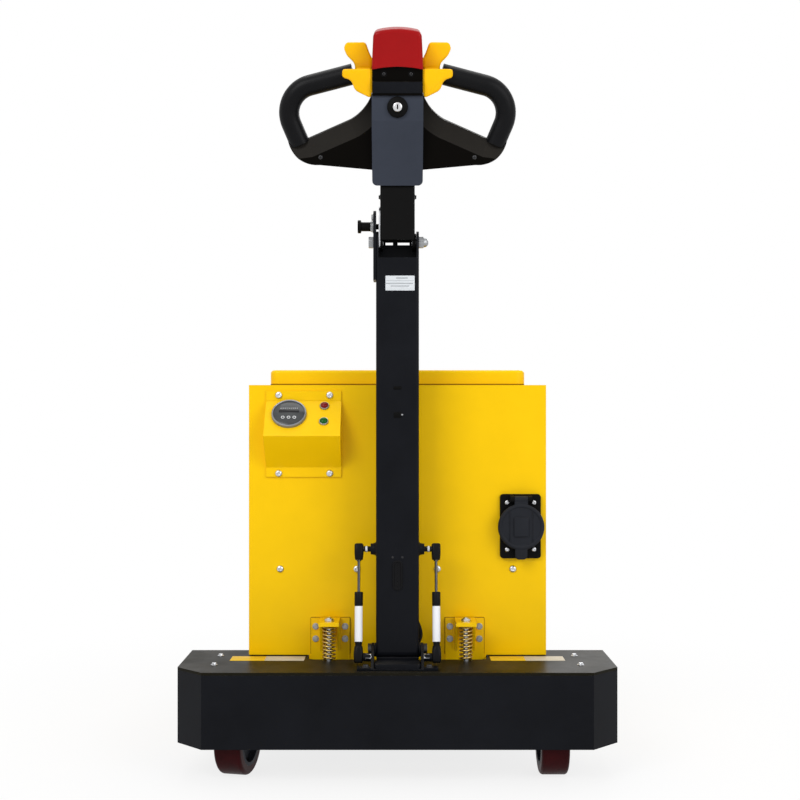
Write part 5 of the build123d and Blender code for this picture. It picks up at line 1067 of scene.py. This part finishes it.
class TUG_OT_cabinet(bpy.types.Operator):
    """Painted shade along the lid's seam, panel screws of the sides and rear, hitch bolts, drive bolts and
    battery links
    """

    bl_idname = "tug.cabinet"
    bl_label = "Cabinet Trim"

    def execute(self, context):
        # A dark amber rim where the lid meets the cabinet: painted shade along the seam
        lid_shade = Shell().plate(LID_SEAM_SHADE, at(0, LID_MIDDLE, CABINET_TOP), LEVEL, size=(LID_WIDTH, LID_LENGTH),
                             corner=LID_CORNER, steps=8, hollow=True)
        lid_shade.piece("lid_seal", "battery_lid", "yellow_paint", "seam_shade")
        fasten(CABINET_SCREWS, context.scene.tug_sizes)

        bolts = Shell()
        for x, z in product(HITCH_BOLTS_X, HITCH_BOLTS_Z):
            hex_bolt(bolts, at(x, HITCH_FACE, z), Y_AXIS, radius=6.4)
        for angle in np.arange(DRIVE_BOLTS) * 2 * np.pi / DRIVE_BOLTS:
            across_x, up = DRIVE_BOLT_CIRCLE * math.cos(angle), DRIVE_BOLT_CIRCLE * math.sin(angle)
            hex_bolt(bolts, at(across_x, DRIVE_FLANGE_DEPTH, AXLE_Z + up), -Y_AXIS, radius=4.4)
        bolts.piece("chassis_bolts", "chassis", "zinc")

        nuts = Shell()
        for x in TERMINALS:
            hex_bolt(nuts, at(x, TERMINAL_DEPTH, TERMINAL_TOP), Z_AXIS, radius=7.0)
        nuts.piece("battery_nuts", "chassis", "zinc")
        strap = Shell().plate([(0, 0.2), (0, 2.6), (0.5, 3.0)],
                              at(0, TERMINAL_DEPTH, TERMINAL_TOP - LINK_SINK), LEVEL, size=(92, 20),
                              corner=8, steps=8)
        strap.piece("battery_link", "chassis", "battery_case", "yellow_zinc")
        return {"FINISHED"}


FILM = [(0, -0.05), (0, 0.18), (0.25, 0.3)]
LABEL_X, LABEL_Z = 3.7, 711
# Each bar on the tiller's label: x and z from its middle, width and height
LABEL_BARS = ((2.7, 7.2, 16.6, 1.5), (0, 3.6, 40, 0.4), (-0.9, -0.4, 39, 1.1), (-0.3, -4.3, 26.7, 1.1))
# Each half of a sticker on the base: name, shift from the sticker's middle and width
STICKER_HALVES = (("sticker_yellow", -29.1, 51.0), ("sticker_pale", 25.5, 58.2))
STICKER_X, STICKER_DEPTH = 192, 103


class TUG_OT_labels(bpy.types.Operator):
    """Label with plain bars on the tiller and blank two-tone stickers on the base"""

    bl_idname = "tug.labels"
    bl_label = "Labels"

    def execute(self, context):
        sizes = context.scene.tug_sizes
        label = Shell().plate(FILM, at(LABEL_X, TUBE_FRONT, LABEL_Z), FRONTAL,
                              size=(sizes.label_width / MM, sizes.label_height / MM), corner=0.8)
        label.piece("tiller_label", "tiller", "black_paint", "label_film")
        marks = Shell()
        for x, z, width, height in LABEL_BARS:
            marks.plate([(0, 0.1), (0, 0.36)], at(LABEL_X + x, TUBE_FRONT, LABEL_Z + z), FRONTAL,
                        size=(width, height), corner=0.15, steps=3)
        marks.piece("label_marks", "tiller", "black_paint", "label_print")
        for name, shift, width in STICKER_HALVES:
            half = Shell()
            for middle in (-STICKER_X, STICKER_X):
                half.plate(FILM, at(middle + shift, STICKER_DEPTH, BASE_TOP), LEVEL,
                           size=(width, sizes.sticker_depth / MM), corner=0.6)
            half.piece(name, "chassis", "black_paint", name)
        return {"FINISHED"}


FLOOR_REACH, FLOOR_COLOUR, WHITE = 14.0, (0.86, 0.86, 0.86, 1.0), (1.0, 1.0, 1.0, 1.0)
# Each lamp: name, place, aim, size and power
LAMPS = (
    ("key_lamp", (-1.5, -2.6, 2.3), (0, -0.1, 0.45), 1.6, 42),
    ("fill_lamp", (1.9, -2.2, 1.5), (0, -0.1, 0.45), 1.6, 26),
    ("top_lamp", (0.0, 0.3, 2.9), (0, 0.0, 0.4), 1.8, 22),
    ("rear_lamp", (1.2, 2.6, 1.9), (0, 0.1, 0.4), 1.6, 22),
)
CAMERA_LENS, CAMERA_SENSOR, CAMERA_PLACE = 56.25, 36.0, (0, -1750, 521)
# Shift of the picture and its width, in pixels
PICTURE_SHIFT, PICTURE_WIDTH = (2.5, 15), 800


def seen_directly(tree):
    """1 for rays that come from the camera, from a glossy surface or through a clear one, otherwise 0."""
    path = add(tree, "ShaderNodeLightPath").outputs
    seen = joined(tree, "MAXIMUM", path["Is Camera Ray"], path["Is Glossy Ray"])
    return joined(tree, "MAXIMUM", seen, path["Is Transmission Ray"])


def studio_material(name, colour):
    """Matt ground that turns plain white to the camera away from the object and keeps its shadow under it."""
    material = bpy.data.materials.new(name)
    material.use_nodes = True
    tree = material.node_tree
    tree.nodes.remove(tree.nodes["Principled BSDF"])
    matt = add(tree, "ShaderNodeBsdfDiffuse", {"Color": colour})
    glow = add(tree, "ShaderNodeEmission", {"Color": WHITE, "Strength": 1.0})
    where = add(tree, "ShaderNodeTexCoord").outputs["Object"]
    away = add(tree, "ShaderNodeVectorMath", links={0: where}, operation="LENGTH").outputs["Value"]
    white = ranged(tree, away, {"From Min": 0.3, "From Max": 1.1, "To Min": 0.8, "To Max": 1.0},
                   interpolation_type="SMOOTHSTEP")
    share = joined(tree, "MULTIPLY", seen_directly(tree), white)
    mixed = add(tree, "ShaderNodeMixShader",
                links={"Fac": share, 1: matt.outputs["BSDF"], 2: glow.outputs["Emission"]})
    tree.links.new(mixed.outputs["Shader"], tree.nodes["Material Output"].inputs["Surface"])
    return material


class TUG_OT_stage(bpy.types.Operator):
    """Pale floor, white surroundings, soft lamps and the camera"""

    bl_idname = "tug.stage"
    bl_label = "Stage"

    def execute(self, context):
        scene = context.scene
        scene.view_settings.view_transform = "Standard"
        corners = [(x, y, 0) for x, y in box_outline(2 * FLOOR_REACH, 2 * FLOOR_REACH)]
        mesh = bpy.data.meshes.new("floor")
        mesh.from_pydata(corners, [], [(0, 1, 2, 3)])
        floor = bpy.data.objects.new("floor", mesh)
        scene.collection.objects.link(floor)
        mesh.materials.append(studio_material("studio_floor", FLOOR_COLOUR))

        world = bpy.data.worlds.new("studio")
        scene.world = world
        world.use_nodes = True
        tree = world.node_tree
        sky = tree.nodes["Background"]
        sky.inputs["Color"].default_value = WHITE
        level = ranged(tree, seen_directly(tree), {"To Min": 0.55, "To Max": 1.0})
        tree.links.new(level, sky.inputs["Strength"])

        for name, place, aim, size, power in LAMPS:
            data = bpy.data.lights.new(name, "AREA")
            data.size = size
            data.energy = power
            lamp = bpy.data.objects.new(name, data)
            scene.collection.objects.link(lamp)
            lamp.location = place
            direction = Vector(aim) - Vector(place)
            lamp.rotation_euler = direction.to_track_quat("-Z", "Y").to_euler()

        data = bpy.data.cameras.new("photo_camera")
        data.lens = CAMERA_LENS
        data.sensor_width = CAMERA_SENSOR
        data.shift_x, data.shift_y = (shift / PICTURE_WIDTH for shift in PICTURE_SHIFT)
        camera = bpy.data.objects.new("photo_camera", data)
        scene.collection.objects.link(camera)
        camera.location = at(*CAMERA_PLACE)
        camera.rotation_euler = (math.radians(90), 0, 0)
        scene.camera = camera
        return {"FINISHED"}


class TUG_PT_dressing(bpy.types.Panel):
    """Lists the dressing steps of the tow tug"""

    bl_idname = "TUG_PT_dressing"
    bl_label = "Tow Tug"
    bl_space_type = "VIEW_3D"
    bl_region_type = "UI"
    bl_category = "Tow Tug"

    def draw(self, context):
        for step in STEPS:
            self.layout.operator(step.bl_idname)
        for group in (context.scene.tug_sizes, context.scene.tug_colours):
            box = self.layout.box()
            for key in group.bl_rna.properties.keys():
                if key not in ("rna_type", "name"):
                    box.prop(group, key)


STEPS = (
    TUG_OT_finish_panels, TUG_OT_fasteners, TUG_OT_gas_springs, TUG_OT_gauge, TUG_OT_socket, TUG_OT_front,
    TUG_OT_head, TUG_OT_hinge, TUG_OT_tiller, TUG_OT_wheels, TUG_OT_cabinet, TUG_OT_labels, TUG_OT_stage,
)
CLASSES = (TugColours, TugSizes, *STEPS, TUG_PT_dressing)


def register():
    """Registers the classes and gives the scene its two property groups."""
    for kind in CLASSES:
        bpy.utils.register_class(kind)
    bpy.types.Scene.tug_colours = PointerProperty(type=TugColours)
    bpy.types.Scene.tug_sizes = PointerProperty(type=TugSizes)


def unregister():
    """Takes back what register does, in reverse order."""
    del bpy.types.Scene.tug_sizes
    del bpy.types.Scene.tug_colours
    for kind in reversed(CLASSES):
        bpy.utils.unregister_class(kind)


def main():
    """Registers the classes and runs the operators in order."""
    register()
    for step in STEPS:
        prefix, name = step.bl_idname.split(".")
        getattr(getattr(bpy.ops, prefix), name)()


if __name__ == "__main__":
    main()
